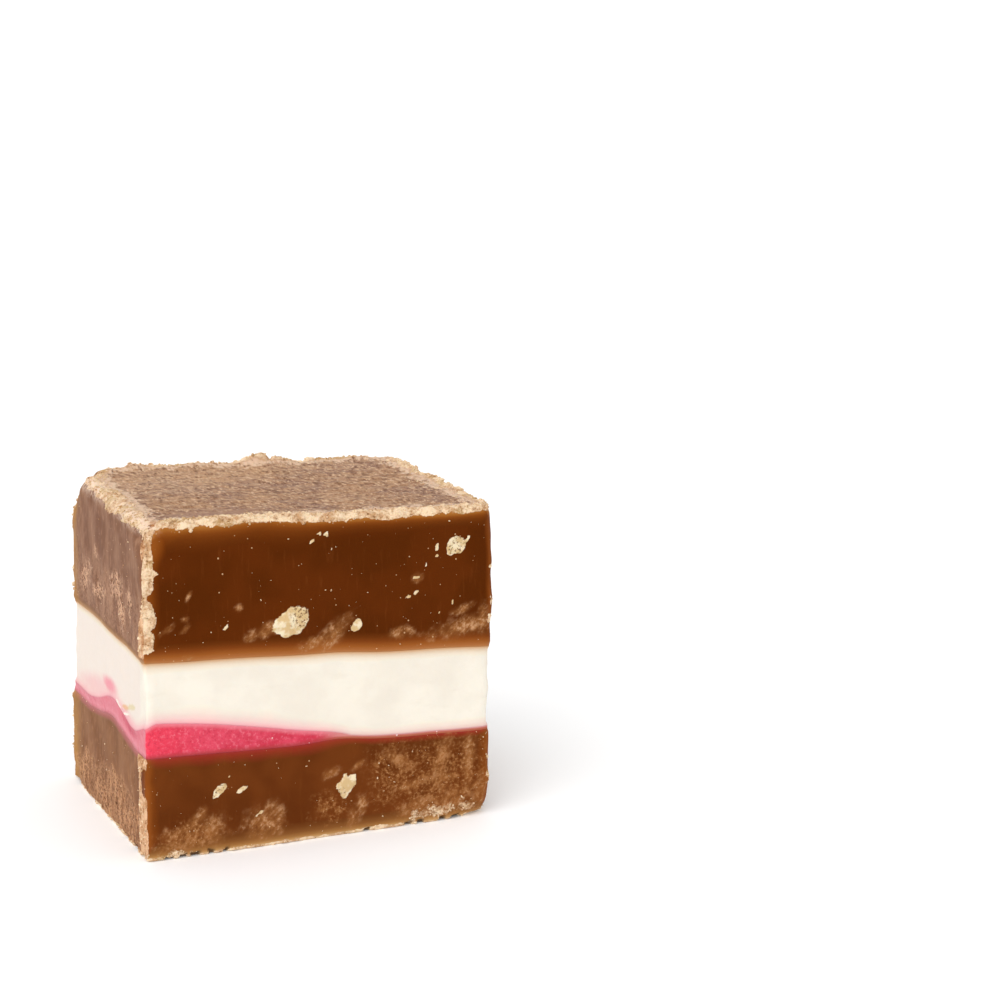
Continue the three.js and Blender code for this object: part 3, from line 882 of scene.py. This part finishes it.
x, y, z = np.moveaxis(white_points, -1, 0)
from_front = side_distances(white_points)[FRONT]
white_values = {
    "under_joint": white_top(x, y) - z,
    "over_joint": z - pink_top(x, y),
    "wisp": np.maximum(on_white(WISP, 0.6), 0.45 * on_white(HAZE, 0.8)),
    "orange": on_white(ORANGE),
    "olive": on_white(OLIVE),
    "flake": on_white(FLAKE),
    "smeared": smeared_side(white_cut["side"]) * ease(from_front, 1.4, 2.2),
    "blush": np.clip(pink_thickness(x, y) - 0.25, 0, 1),
}
dents = 0.03 * bumps(white_points * (0.45, 0.45, 1.0), 0.9, 41) + 0.01 * bumps(white_points, 0.4, 44)
dents += 0.06 * white_values["orange"] + 0.1 * white_values["flake"]
white_points = white_points + white_facing * dents[..., None] * off_joints(white_values)
white_piece = closed_mesh("white_layer", white_points, white_values, pink_top(0, 0), white_top(0, 0))

white, shader = new_material("white fudge")
fine = grain(0.3, 3.0, 0.6)
level = grain(0.9, drawn=(2.5, 2.5, 1.0))
colour = coated(
    "e9e1d3",
    (graded(grain(4.0), 0.35, 0.65), "efe8da"),
    (graded(level, 0.55, 0.75) * 0.3, "e2d8c8"),
    (mask("smeared") * 0.8, "e7d9ce"),
)
tan_line = {0: "c08e62", 0.12: "d6b08c", 0.28: "e0c8ac", 0.55: "e8dac6", 1.0: "f2eadb"}
rosy = {0: "f09aa2", 0.15: "f2b3b4", 0.4: "f3cbc4", 0.9: "f3ddd0", 1.8: "f6eddb"}
faint = {0: "dfa5a6", 0.12: "e0c0b6", 0.4: "ead9cc", 1.0: "f6eddb"}
blush = blend(mask("blush"), shades("over_joint", faint), shades("over_joint", rosy))
colour = blend(1.0, colour, shades("under_joint", tan_line), "DARKEN")
colour = coated(
    blend(1.0, colour, blush, "DARKEN"),
    (mask("wisp") * 0.95, "e8909c"),
    (mask("orange") * 0.85, "e0ab7c"),
    (mask("olive") * 0.7, "d6c48e"),
    (mask("flake"), "f8efe0"),
)
fill_in(shader, {
    "Base Color": colour,
    "Roughness": graded(fine, 0.3, 0.7, 0.42, 0.6),
    "Normal": relief(fine + level, 0.2, 0.1),
    "Specular IOR Level": 0.12,
    **glow(0.15, (1.0, 0.8, 0.6), 0.5),
})
white_piece.data.materials.append(white)
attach(white_piece, "root")
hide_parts("white_fudge")

# ---- Brown top ---------------------------------------------------------------------------------
# The last pour, 11 mm of brown fudge. Its face dried in the tray, so the knife broke the dry skin
# into a crumbly lip all round, deepest at the front left corner, and curled one flake up behind.

TOP_MARKS = {
    "pale": {
        FRONT: [
            (-2.75, 18.69, 1.62, 1.1, 22, 0.12), (11.6, 23.65, 0.85, 0.75, 25, 0.25),
            (2.85, 17.79, 0.62, 0.4, 52, 0.3), (-0.3, 25.79, 0.22, 0.2, 0, 0.4),
            (0.3, 25.64, 0.14, 0.26, 0, 0.4), (-0.8, 25.24, 0.32, 0.11, 40),
            (8.05, 21.29, 0.32, 0.18, 10), (7.3, 19.79, 0.26, 0.2, 0, 0.4),
            (8.0, 20.04, 0.3, 0.13, 25, 0.4), (9.9, 23.69, 0.12, 0.28), (9.9, 22.99, 0.18, 0.18),
            (8.9, 22.29, 0.1, 0.12), (-8.15, 18.94, 0.3, 0.11, 48, 0.6),
            (12.6, 24.19, 0.1, 0.26, -20), (10.0, 18.19, 0.2, 0.08, -40, 0.4),
            (11.2, 18.89, 0.12, 0.16, 0, 0.4),
        ],
        RIGHT: [
            (-5.5, 20.6, 1.4, 1.1, 15, 0.2), (4.2, 18.0, 0.5, 0.4, 30, 0.4), (8.3, 22.6, 0.4, 0.3),
        ],
        BACK: [
            (6.5, 21.5, 1.1, 1.2, 0, 0.2), (-3.0, 18.4, 0.6, 0.4, 30, 0.4), (-9.0, 23.0, 0.4, 0.35),
        ],
    },
    "pitted": {
        FRONT: [(-2.0, 18.99, 0.85, 1.0, 10, 0.25), (11.6, 23.69, 0.8, 0.7, 20, 0.3)],
        RIGHT: [(-5.0, 20.8, 0.9, 0.8, 0, 0.3)],
        BACK: [(6.2, 21.3, 0.8, 0.8, 0, 0.3)],
    },
    "cloud": {
        FRONT: [
            (0.9, 17.29, 1.5, 0.6, 45, 0.35), (-0.6, 16.69, 1.2, 0.45, 15, 0.45),
            (-5.2, 18.09, 1.2, 0.4, 12), (-11.3, 16.49, 0.4, 0.3, 0, 0.4),
            (11.9, 16.69, 2.2, 0.6, 8), (12.1, 18.19, 0.8, 0.3, 20), (13.9, 17.2, 0.45, 0.9),
            (-7.1, 20.26, 0.24, 0.2, 0, 0.3), (-11.55, 19.79, 0.28, 0.2),
            (-11.5, 19.04, 0.35, 0.16, 40), (6.8, 16.79, 1.0, 0.35, 0, 0.6),
            (-13.0, 19.09, 0.5, 0.2, 30), (8.15, 21.19, 0.35, 0.3, 0, 0.4),
            (-11.2, 21.69, 0.14, 0.35, -25, 0.4),
        ],
        RIGHT: [(2.5, 17.0, 2.6, 1.0, -10), (-8.0, 16.6, 2.0, 0.8)],
        BACK: [(-7.0, 17.2, 2.6, 1.2, 10), (9.0, 17.0, 2.2, 1.0)],
    },
    "grainy": {
        RIGHT: [(3.0, 21.0, 2.4, 1.5, 0, 0.6)],
        BACK: [(-2.0, 20.0, 3.0, 1.6, 0, 0.6)],
    },
}
# Where the knife tore the top's smeared sides.
TOP_TORN = {
    LEFT: [
        (6.6, 19.5, 2.3, 1.1, -25, 0.35), (-3.8, 21.1, 2.2, 1.0, -15, 0.35),
        (1.4, 19.3, 2.0, 0.6, -10, 0.4), (-5.4, 19.3, 0.9, 1.5, 0, 0.4),
        (-8.2, 20.4, 0.7, 1.3, 0, 0.4), (2.6, 22.3, 0.8, 0.5, 0, 0.4),
    ],
    BACK: [
        (-6.0, 19.6, 3.4, 1.6, 5, 0.35), (4.0, 18.6, 3.6, 1.2, -5, 0.35),
        (10.5, 20.8, 1.8, 1.8, 0, 0.4),
    ],
}


def lip_reaches(x, y):
    """How far the crumbly lip reaches in over the top face from the front, right, back and left."""
    front = 1.05 + 0.55 * ease(x, -1.0, -5.0) + 0.9 * hump(x + 7.8, 0.8) - 0.4 * hump(x + 9.6, 0.4)
    left = 1.3 + 0.5 * hump(y, 2.4) + 0.4 * hump(y - 10, 3)
    far_corner = 1.2 * hump(np.hypot(x + 12.4, y - 10.7), 1.7)
    return [front, 1.0, 0.8 + far_corner, left + far_corner]


def lip_depths(side, x, y, insets):
    """How far the lip hangs down over the side that a point is on."""
    from_front, from_left = insets[0]
    front = 0.45 - 0.3 * hump(x + 5.0, 2.6) + 1.7 * hump(from_left, 1.0)
    left = 0.4 + 0.3 * hump(y + 2.4, 2.0) + 0.25 * hump(y + 8.5, 2.0) + 1.6 * hump(from_front, 0.9)
    return np.select([side == FRONT, side == LEFT], [front, left], 0.6)


def top_masks(p, side, down):
    """Masks of the top's sides and face, `down` below the level of the face."""
    x, y, z = np.moveaxis(p, -1, 0)
    from_cut, insets, past = near_edges(p)
    rough = bumps(p, 0.9, 9) + 0.7 * bumps(p, 0.4, 4) + 0.4 * bumps(p, 0.2, 6)
    on_face, on_side, on_front = ease(down, 0.6, 0.0), down > 0.3, side == FRONT
    above_white = z - white_top(x, y)
    lip, dust = np.zeros_like(z), np.zeros_like(z)
    for k, reach in enumerate(lip_reaches(x, y)):
        lip = np.maximum(lip, ease(reach + 0.4 * rough - from_cut[k], -0.3, 0.4) * on_face)
        dust = np.maximum(dust, ease(reach + 1.6 + 0.6 * rough - from_cut[k], -0.2, 1.7) * on_face)
    depth = lip_depths(side, x, y, insets)
    hanging = ease(depth + 0.15 * rough - down, -0.1, 0.12)
    lip = np.maximum(lip, hanging * ease(np.minimum.reduce(from_cut), 1.1, 0.7))
    # Down the near left edge crumbs hang over the front in ragged clumps.
    clumps = 0.88 + 0.4 * hump(z - 23.7, 0.22) - 0.55 * hump(z - 21.75, 0.42)
    clumps += 0.3 * hump(z - 19.8, 0.5) - 0.25 * hump(z - 19.05, 0.2) + 0.12 * hump(z - 18.3, 0.4)
    clumps = (clumps + 0.08 * rough) * ease(z, 17.1, 17.5)
    burr = burr_of(past, rough, {1: -0.26, 2: 0.12, 3: 0.05 + 0.55 * ease(z, 22.5, 25.5)})
    burr = np.maximum(burr, np.where(on_front, ease(clumps - insets[0][1], -0.05, 0.08), 0))
    burr = burr * ease(above_white, 0.5, 1.0) * ease(down, 0.0, 0.5)
    torn_width = 0.2 + 0.7 * ease(z, 24.0, 26.2) + 1.35 * ease(z, 21.0, 17.8)
    strip = torn_strip(side, insets, rough, torn_width)
    strip = strip * ease(above_white, 0.15, 0.6) * ease(down, 0.2, 1.0)
    smeared = smeared_side(side) * on_side * (1 - strip)
    torn = np.maximum(marks_on(side, p, TOP_TORN, 0.5), 0.22 * ease(z, 23.0, 20.5))
    # Painted shade: towards the right of the front the glow under the lip is cut short.
    shade_at_right = between(1.0, 1.7, ease(x, -3, 3)) * on_front + (1 - on_front)
    flanks = [past[0] + 0.2, 2.2 * past[1] + 0.9, 2.2 * past[2] + 0.9, past[3] + 0.4]
    bare_spot = hump(x + 8.5, 3.2) * hump(from_cut[0] - 3.0, 1.6)
    left_lip = hump(from_cut[3] - 0.5, 0.8) * between(1.0, 0.3, hump(y + 1.0, 2.2))
    return {
        "crust": np.maximum(lip, burr),
        "strip": strip,
        "smeared": smeared,
        "torn": smeared * (torn * ease(above_white, 0.2, 0.8)),
        **{key: marks_on(side, p, TOP_MARKS[key], soft) * on_side for key, soft in SOFT.items()},
        "from_edge": np.minimum.reduce(flanks),
        "from_foot": z,
        "far_edge": gold_of(side, past, 0.4 * rough, 1.3) * on_side,
        "under_lip": np.maximum(down - depth, 0) * shade_at_right,
        "over_joint": above_white,
        "dried": ease(down, 0.25, 0.0) * (1 - lip),
        "dust": dust * between(1.0, 0.25, bare_spot),
        "slick": hump(from_cut[0] - 2.9, 1.3) * ease(x, -12.5, -11.0) * ease(x, -3.0, -6.0) * on_face,
        "powder": left_lip * ease(down, 1.1, 0.3),
        "back_sheen": ease(y - 0.5 * x, 1.0, 8.0) * on_face,
    }


def crust_height(x, y, inset):
    level = np.stack([x, y, np.full_like(x, SLAB)], -1)
    lip = hump(inset, 1.5) * (0.22 + 0.22 * bumps(level, 1.2))
    flake = 0.7 * hump(x - 2.4, 2.1) * hump(y - 11.4, 0.9) * (1 - 0.55 * hump(x - 3.2, 0.25))
    flake += 0.12 * hump(x - 2.0, 1.8) * hump(y - 11.4, 0.7) * bumps(level, 0.5, 17)
    lumps = 0.2 * hump(x + 9.3, 0.9) + 0.15 * hump(x + 4.0, 0.8)
    corner = 0.95 * hump(x + 12.5, 1.1) * hump(y - 10.7, 1.1)
    return lip + 0.07 * bumps(level, 2.4) + flake + lumps * hump(y - 11.2, 0.8) + corner


outline = cut_outline(np.full((1, ROUND_MARKS), SLAB))["place"][0]
top_radius = worn(outline, HEADS, BRUISES, TOP_ROUND)
shoulder = top_face(outline[:, 0], outline[:, 1]) - top_radius
wall_z, wall_out = side_rows("top", white_joint, shoulder, step_high=False)
angle = np.radians(np.linspace(0, 90, BEND_ROWS["top"] + 1)[1:])[:, None]
bend_z = shoulder + top_radius * np.sin(angle)
bend_out = STAND_OUT["top"] - top_radius * (1 - np.cos(angle))
top_z = np.concatenate([wall_z, bend_z])
top_points, top_facing, top_cut = side_points(top_z, np.concatenate([wall_out, bend_out]))
turned = np.concatenate([np.zeros_like(wall_z), np.broadcast_to(np.sin(angle) ** 2, bend_z.shape)])
lift = turned * crust_height(top_points[..., 0], top_points[..., 1], top_radius * turned)
top_points[..., 2] += lift
upward = np.array([0.0, 0.0, 1.0])
top_facing = top_facing * np.sqrt(1 - turned)[..., None] + upward * np.sqrt(turned)[..., None]
down = np.maximum(top_face(top_points[..., 0], top_points[..., 1]) - top_z, 0)
top_values = top_masks(top_points, top_cut["side"], down)

# Inside its rim the top face is a grid, stretched between the four sides of the last row.
u = np.append(crowded(MARKS[FRONT]), 1.0)[None, :, None]
v = np.append(crowded(MARKS[RIGHT]), 1.0)[:, None, None]
plain = between(between(HEADS[0], HEADS[1], u), between(HEADS[3], HEADS[2], u), v)
rims = zip(rim_sides(top_points[-1, :, :2]), (plain[0], plain[:, -1], plain[-1], plain[:, 0]))
front_off, right_off, back_off, left_off = [rim - straight for rim, straight in rims]
near_front, near_left = ease(v, 0.3, 0.0), ease(u, 0.3, 0.0)
near_back, near_right = ease(v, 0.7, 1.0), ease(u, 0.7, 1.0)
flat = plain + near_front * front_off[None] + near_back * back_off[None]
flat += near_left * left_off[:, None] + near_right * right_off[:, None]
flat -= near_left * (near_front * front_off[0] + near_back * back_off[0])
flat -= near_right * (near_front * front_off[-1] + near_back * back_off[-1])
sheet = np.concatenate([flat, np.full(flat.shape[:2] + (1,), SLAB)], -1)[1:-1, 1:-1]
x, y = sheet[..., 0], sheet[..., 1]
face_z = top_face(x, y) + crust_height(x, y, np.minimum.reduce(side_distances(sheet)))
sheet = np.concatenate([sheet[..., :2], face_z[..., None]], -1)
face_side = np.argmin(side_distances(sheet), axis=0)
sheet_values = top_masks(sheet, face_side, np.zeros(face_side.shape))
ripples = 0.055 * bumps(sheet, 0.9, 51) + 0.035 * bumps(sheet, 0.36, 53)
ripples *= 1 - 0.8 * sheet_values["slick"]
top_points = roughen(top_points, top_facing, top_values)
sheet = roughen(sheet, upward, sheet_values) + upward * (ripples * sheet_values["dried"])[..., None]
face = (sheet, sheet_values)
top_piece = closed_mesh("brown_top", top_points, top_values, white_top(0, 0), None, face)

# Painted glow on the cut: orange over the white, under the dry lip and along the upright edges.
top_brown = brown_fudge(
    "brown fudge, top", "542403", "5c2805", "7a5440", "d8ab8b",
    {
        "over_joint": {
            0: "b67c4c", 0.2: "a86838", 0.5: "965523", 0.9: "7c3e14", 1.25: "67310b", 1.7: "542403",
        },
        "under_lip": {
            0: "a2662c", 0.25: "8a4c19", 0.5: "7a3e11", 0.85: "6c340b", 1.35: "602c07",
            1.95: "582604", 2.7: "542403",
        },
        "from_edge": {0: "8f4f1b", 0.8: "763a0d", 1.1: "652e07", 1.5: "542403"},
    },
    {"over_joint": {0: "c0946a", 0.15: "ac8058", 0.4: "8f6849", 0.7: "80593f"}},
)
# The dried face of the slab: a dull skin, grainy all over from the sugar that has come out of it.
coarse = grain(0.8, 4.0, 0.62)
sandy = grain(0.3, 4.0, 0.7, drawn=(1.0, 2.2, 1.0))
face_colour = coated(
    "8d6955",
    (graded(grain(5.0), 0.42, 0.6), "a27959"),
    # Painted sheen: the dried face lighter towards the back left.
    (mask("back_sheen") * 0.5, "bd9675"),
    (graded(coarse, 0.46, 0.62) * 0.6, "bc9472"),
    (graded(sandy, 0.53, 0.62) * 0.75, "d9b695"),
    (graded(sandy * 0.7 + coarse * 0.3, 0.48, 0.4) * 0.75, "6c4a34"),
    (mask("slick") * 0.7, "94705e"),
    (graded(mask("dust") + (sandy - 0.5) * 2.0, 0.25, 0.95) * 0.9, "dcbca0"),
)
shader = tree.nodes["Principled BSDF"]
cut_colour = Flow(shader.inputs["Base Color"].links[0].from_socket)
fill_in(shader, {"Base Color": blend(mask("dried"), cut_colour, face_colour)})
top_piece.data.materials.append(top_brown)
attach(top_piece, "root")
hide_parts("top_fudge")

# ---- Loose crumbs ------------------------------------------------------------------------------
# Crumbs that the knife broke off the dry skin and pressed back on: thick on the lip and the near
# left edge, thin round the foot. Each is a lump of dried fudge a few tenths of a millimetre across.

PER_SQUARE_MM = 1e6  # that many square millimetres make the square metre that a scatter counts in


def stored(name):
    return node("GeometryNodeInputNamedAttribute", {"Name": name}, "Attribute", data_type="FLOAT")


def chance(low, high, seed):
    inputs = {2: low, 3: high, "Seed": seed}
    return node("FunctionNodeRandomValue", inputs, 1, data_type="FLOAT")


def chance_each_way(low, high, seed):
    inputs = {0: low, 1: high, "Seed": seed}
    return node("FunctionNodeRandomValue", inputs, data_type="FLOAT_VECTOR")


def scaled(vector, scale):
    return node("ShaderNodeVectorMath", {0: vector, "Scale": scale}, operation="SCALE")


def strewn(surface, density, shape, scale, seed):
    """Points over the surface, and a tumbled copy of the shape on each, squashed at random."""
    spread = {"Mesh": surface, "Density": density, "Seed": seed}
    points = node("GeometryNodeDistributePointsOnFaces", spread, "Points")
    squash = chance_each_way((0.6, 0.7, 0.8), (1.0, 1.2, 1.5), seed)
    tumble = chance_each_way((0.0, 0.0, 0.0), (6.28, 6.28, 6.28), seed)
    copies = {
        "Points": points, "Instance": shape, "Rotation": tumble, "Scale": scaled(squash, scale),
    }
    copied = node("GeometryNodeInstanceOnPoints", copies, "Instances")
    return node("GeometryNodeRealizeInstances", {"Geometry": copied}, "Geometry")


def joined_browns():
    """One mesh of the base's and the top's surfaces with the masks that a scatter reads."""
    sources = [base_piece.data, top_piece.data]

    def read(items, key, width):
        block = np.empty(len(items) * width)
        items.foreach_get(key, block)
        return block

    places, faces, first = [], [], 0
    for source in sources:
        places.append(read(source.vertices, "co", 3).reshape(-1, 3))
        faces.extend([[first + i for i in face.vertices] for face in source.polygons])
        first += len(source.vertices)
    mesh = bpy.data.meshes.new("browns")
    mesh.from_pydata(np.concatenate(places).tolist(), [], faces)
    for key in ("crust", "strip", "dust", "dried", "grainy", "from_foot", "powder"):
        values = np.concatenate([read(source.attributes[key].data, "value", 1) for source in sources])
        mesh.attributes.new(key, "FLOAT", "POINT").data.foreach_set("value", values)
    return mesh


def strew(name, group, sizes):
    """Run a scatter group over copies of the two brown pieces and keep what it makes."""
    surface = put_in(name, joined_browns())
    modifier = surface.modifiers.new(name, "NODES")
    modifier.node_group = group
    for item in group.interface.items_tree:
        if item.in_out == "INPUT" and item.name in sizes:
            modifier[item.identifier] = sizes[item.name]
    made = surface.evaluated_get(bpy.context.evaluated_depsgraph_get())
    mesh = bpy.data.meshes.new_from_object(made)
    surface.modifiers.remove(modifier)
    surface.data = mesh
    mesh.shade_flat()
    if not len(mesh.materials):
        mesh.materials.append(sizes["Material"])
    return surface


def broken_lump(cuts, knock):
    """A ball of radius 1 mm knocked out of round."""
    ball = node("GeometryNodeMeshIcoSphere", {"Radius": MM, "Subdivisions": cuts}, "Mesh")
    dent = node("ShaderNodeTexNoise", {"Scale": 1 / (0.9 * MM)}, "Color")
    centred = node("ShaderNodeVectorMath", [dent, (0.5, 0.5, 0.5)], operation="SUBTRACT")
    return node("GeometryNodeSetPosition", {"Geometry": ball, "Offset": scaled(centred, knock * MM)})


crumb_material, shader = new_material("dry crumbs")
crust = use_group(dry_crust, "Colour", Pale="edd5b3", Tan="c9a17b")
fill_in(shader, {
    "Base Color": crust,
    "Roughness": graded(crust.out("Height"), 0.3, 0.7, 0.95, 0.75),
    "Normal": relief(crust.out("Height"), 0.4, 0.08),
    "Specular IOR Level": 0.1,
})

CRUMBS = {
    "Lumps per square millimetre": 1.2, "Crumbs per square millimetre": 20.0,
    "Smallest": 0.04, "Largest": 0.24, "Seed": 3, "Material": crumb_material,
}
crumbs, given, out = new_group(
    "strewn crumbs", "GeometryNodeTree", {"Geometry": None, **CRUMBS}, {"Geometry": None}
)
share = stored("crust") + stored("strip") * 0.5
share = share * share + stored("dust") * 0.06
share = share * graded(stored("from_foot"), 0.06, 0.3)
share = share * graded(stored("powder"), 0.0, 1.0, 1.0, 0.45)
middle = (given["Smallest"] + given["Largest"]) * 0.45
luck = chance(0.0, 1.0, given["Seed"])
large = graded(luck * luck, 0.0, 1.0, middle, given["Largest"])
small = graded(luck * luck, 0.0, 1.0, given["Smallest"], middle)
lumps = given["Lumps per square millimetre"] * PER_SQUARE_MM * share
bits = given["Crumbs per square millimetre"] * PER_SQUARE_MM * share
both = tree.nodes.new("GeometryNodeJoinGeometry")
for density, lump, scale, seed in (
    (lumps, broken_lump(2, 1.1), large, given["Seed"]),
    (bits, broken_lump(1, 1.0), small, given["Seed"] + 1.0),
):
    fill_in(both, [strewn(given["Geometry"], density, lump, scale, seed)])
coat = {"Geometry": Flow(both.outputs[0]), "Material": given["Material"]}
fill_in(out, {"Geometry": node("GeometryNodeSetMaterial", coat)})

crumb_piece = strew("loose_crumbs", crumbs, CRUMBS)
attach(crumb_piece, "root")

# ---- Sugar grains ------------------------------------------------------------------------------
# Crystals of sugar that never dissolved stand in the cut sides: little blocks about a tenth of a
# millimetre across, half sunk in the brown, more of them in the grainy parts.

sugar, shader = new_material("sugar grains")
fill_in(shader, {
    "Base Color": blend(graded(grain(0.6, 2.0), 0.4, 0.6), "b98a5c", "ecd2ac"),
    "Roughness": 0.3,
    "Specular IOR Level": 0.4,
})

GRAINS = {
    "Grains per square millimetre": 0.4, "Smallest": 0.03, "Largest": 0.12, "Seed": 8,
    "Material": sugar,
}
grains, given, out = new_group(
    "strewn sugar", "GeometryNodeTree", {"Geometry": None, **GRAINS}, {"Geometry": None}
)
block = node("GeometryNodeMeshCube", {"Size": (MM, 0.8 * MM, 1.3 * MM)}, "Mesh")
blot = node("ShaderNodeTexNoise", {"Scale": 1 / (3.0 * MM)})
dry = stored("crust") + stored("dried")
bare = node("ShaderNodeMath", [1.0, dry], operation="SUBTRACT", use_clamp=True)
share = (graded(blot, 0.42, 0.66, 0.25, 1.4) + stored("grainy") * 1.2) * bare
share = share * graded(stored("from_foot"), 0.06, 0.2)
density = given["Grains per square millimetre"] * PER_SQUARE_MM * share
luck = chance(0.0, 1.0, given["Seed"])
size = given["Smallest"] + (given["Largest"] - given["Smallest"]) * (luck * (luck * (luck * luck)))
strewn_grains = strewn(given["Geometry"], density, block, size, given["Seed"])
coat = {"Geometry": strewn_grains, "Material": given["Material"]}
fill_in(out, {"Geometry": node("GeometryNodeSetMaterial", coat)})

sugar_piece = strew("sugar_grains", grains, GRAINS)
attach(sugar_piece, "root")

# ---- Table, light and camera -------------------------------------------------------------------
# The cube stands on a plain white table in soft light from all round, brighter from the upper left.

bpy.ops.mesh.primitive_circle_add(vertices=96, radius=6.0, fill_type="NGON")
table = bpy.context.object
table.name = "table"
table_white, shader = new_material("white table")
fill_in(shader, {
    "Base Color": (0.96, 0.96, 0.96, 1.0),
    "Emission Color": (1.0, 1.0, 1.0, 1.0),
    "Emission Strength": 0.09,
    "Roughness": 0.6,
})
table.data.materials.append(table_white)

world = bpy.data.worlds.new("studio")
bpy.context.scene.world = world
world.use_nodes = True
sky = world.node_tree.nodes["Background"]
fill_in(sky, {"Color": (1.0, 1.0, 1.0, 1.0), "Strength": 0.76})

WINDOW = Vector((-0.62, -0.62, 1.0))
window = bpy.data.lights.new("window light", "SUN")
window.energy, window.angle = 1.5, 0.9
put_in("window light", window).rotation_euler = (-WINDOW).to_track_quat("-Z", "Y").to_euler()

# Where the camera stands and the way it looks.
STANDS = Vector((-70.675, -217.909, 76.544)) * MM
LOOKS = Vector((0.3768, 0.90075, -0.21603))
camera = put_in("camera", bpy.data.cameras.new("camera"))
camera.location = STANDS
camera.rotation_euler = LOOKS.to_track_quat("-Z", "Y").to_euler()
camera.data.lens = 100.0
camera.data.sensor_width = 36.0
camera.data.clip_start, camera.data.clip_end = 0.01, 20.0
bpy.context.scene.camera = camera
bpy.context.scene.view_settings.view_transform = "Standard"
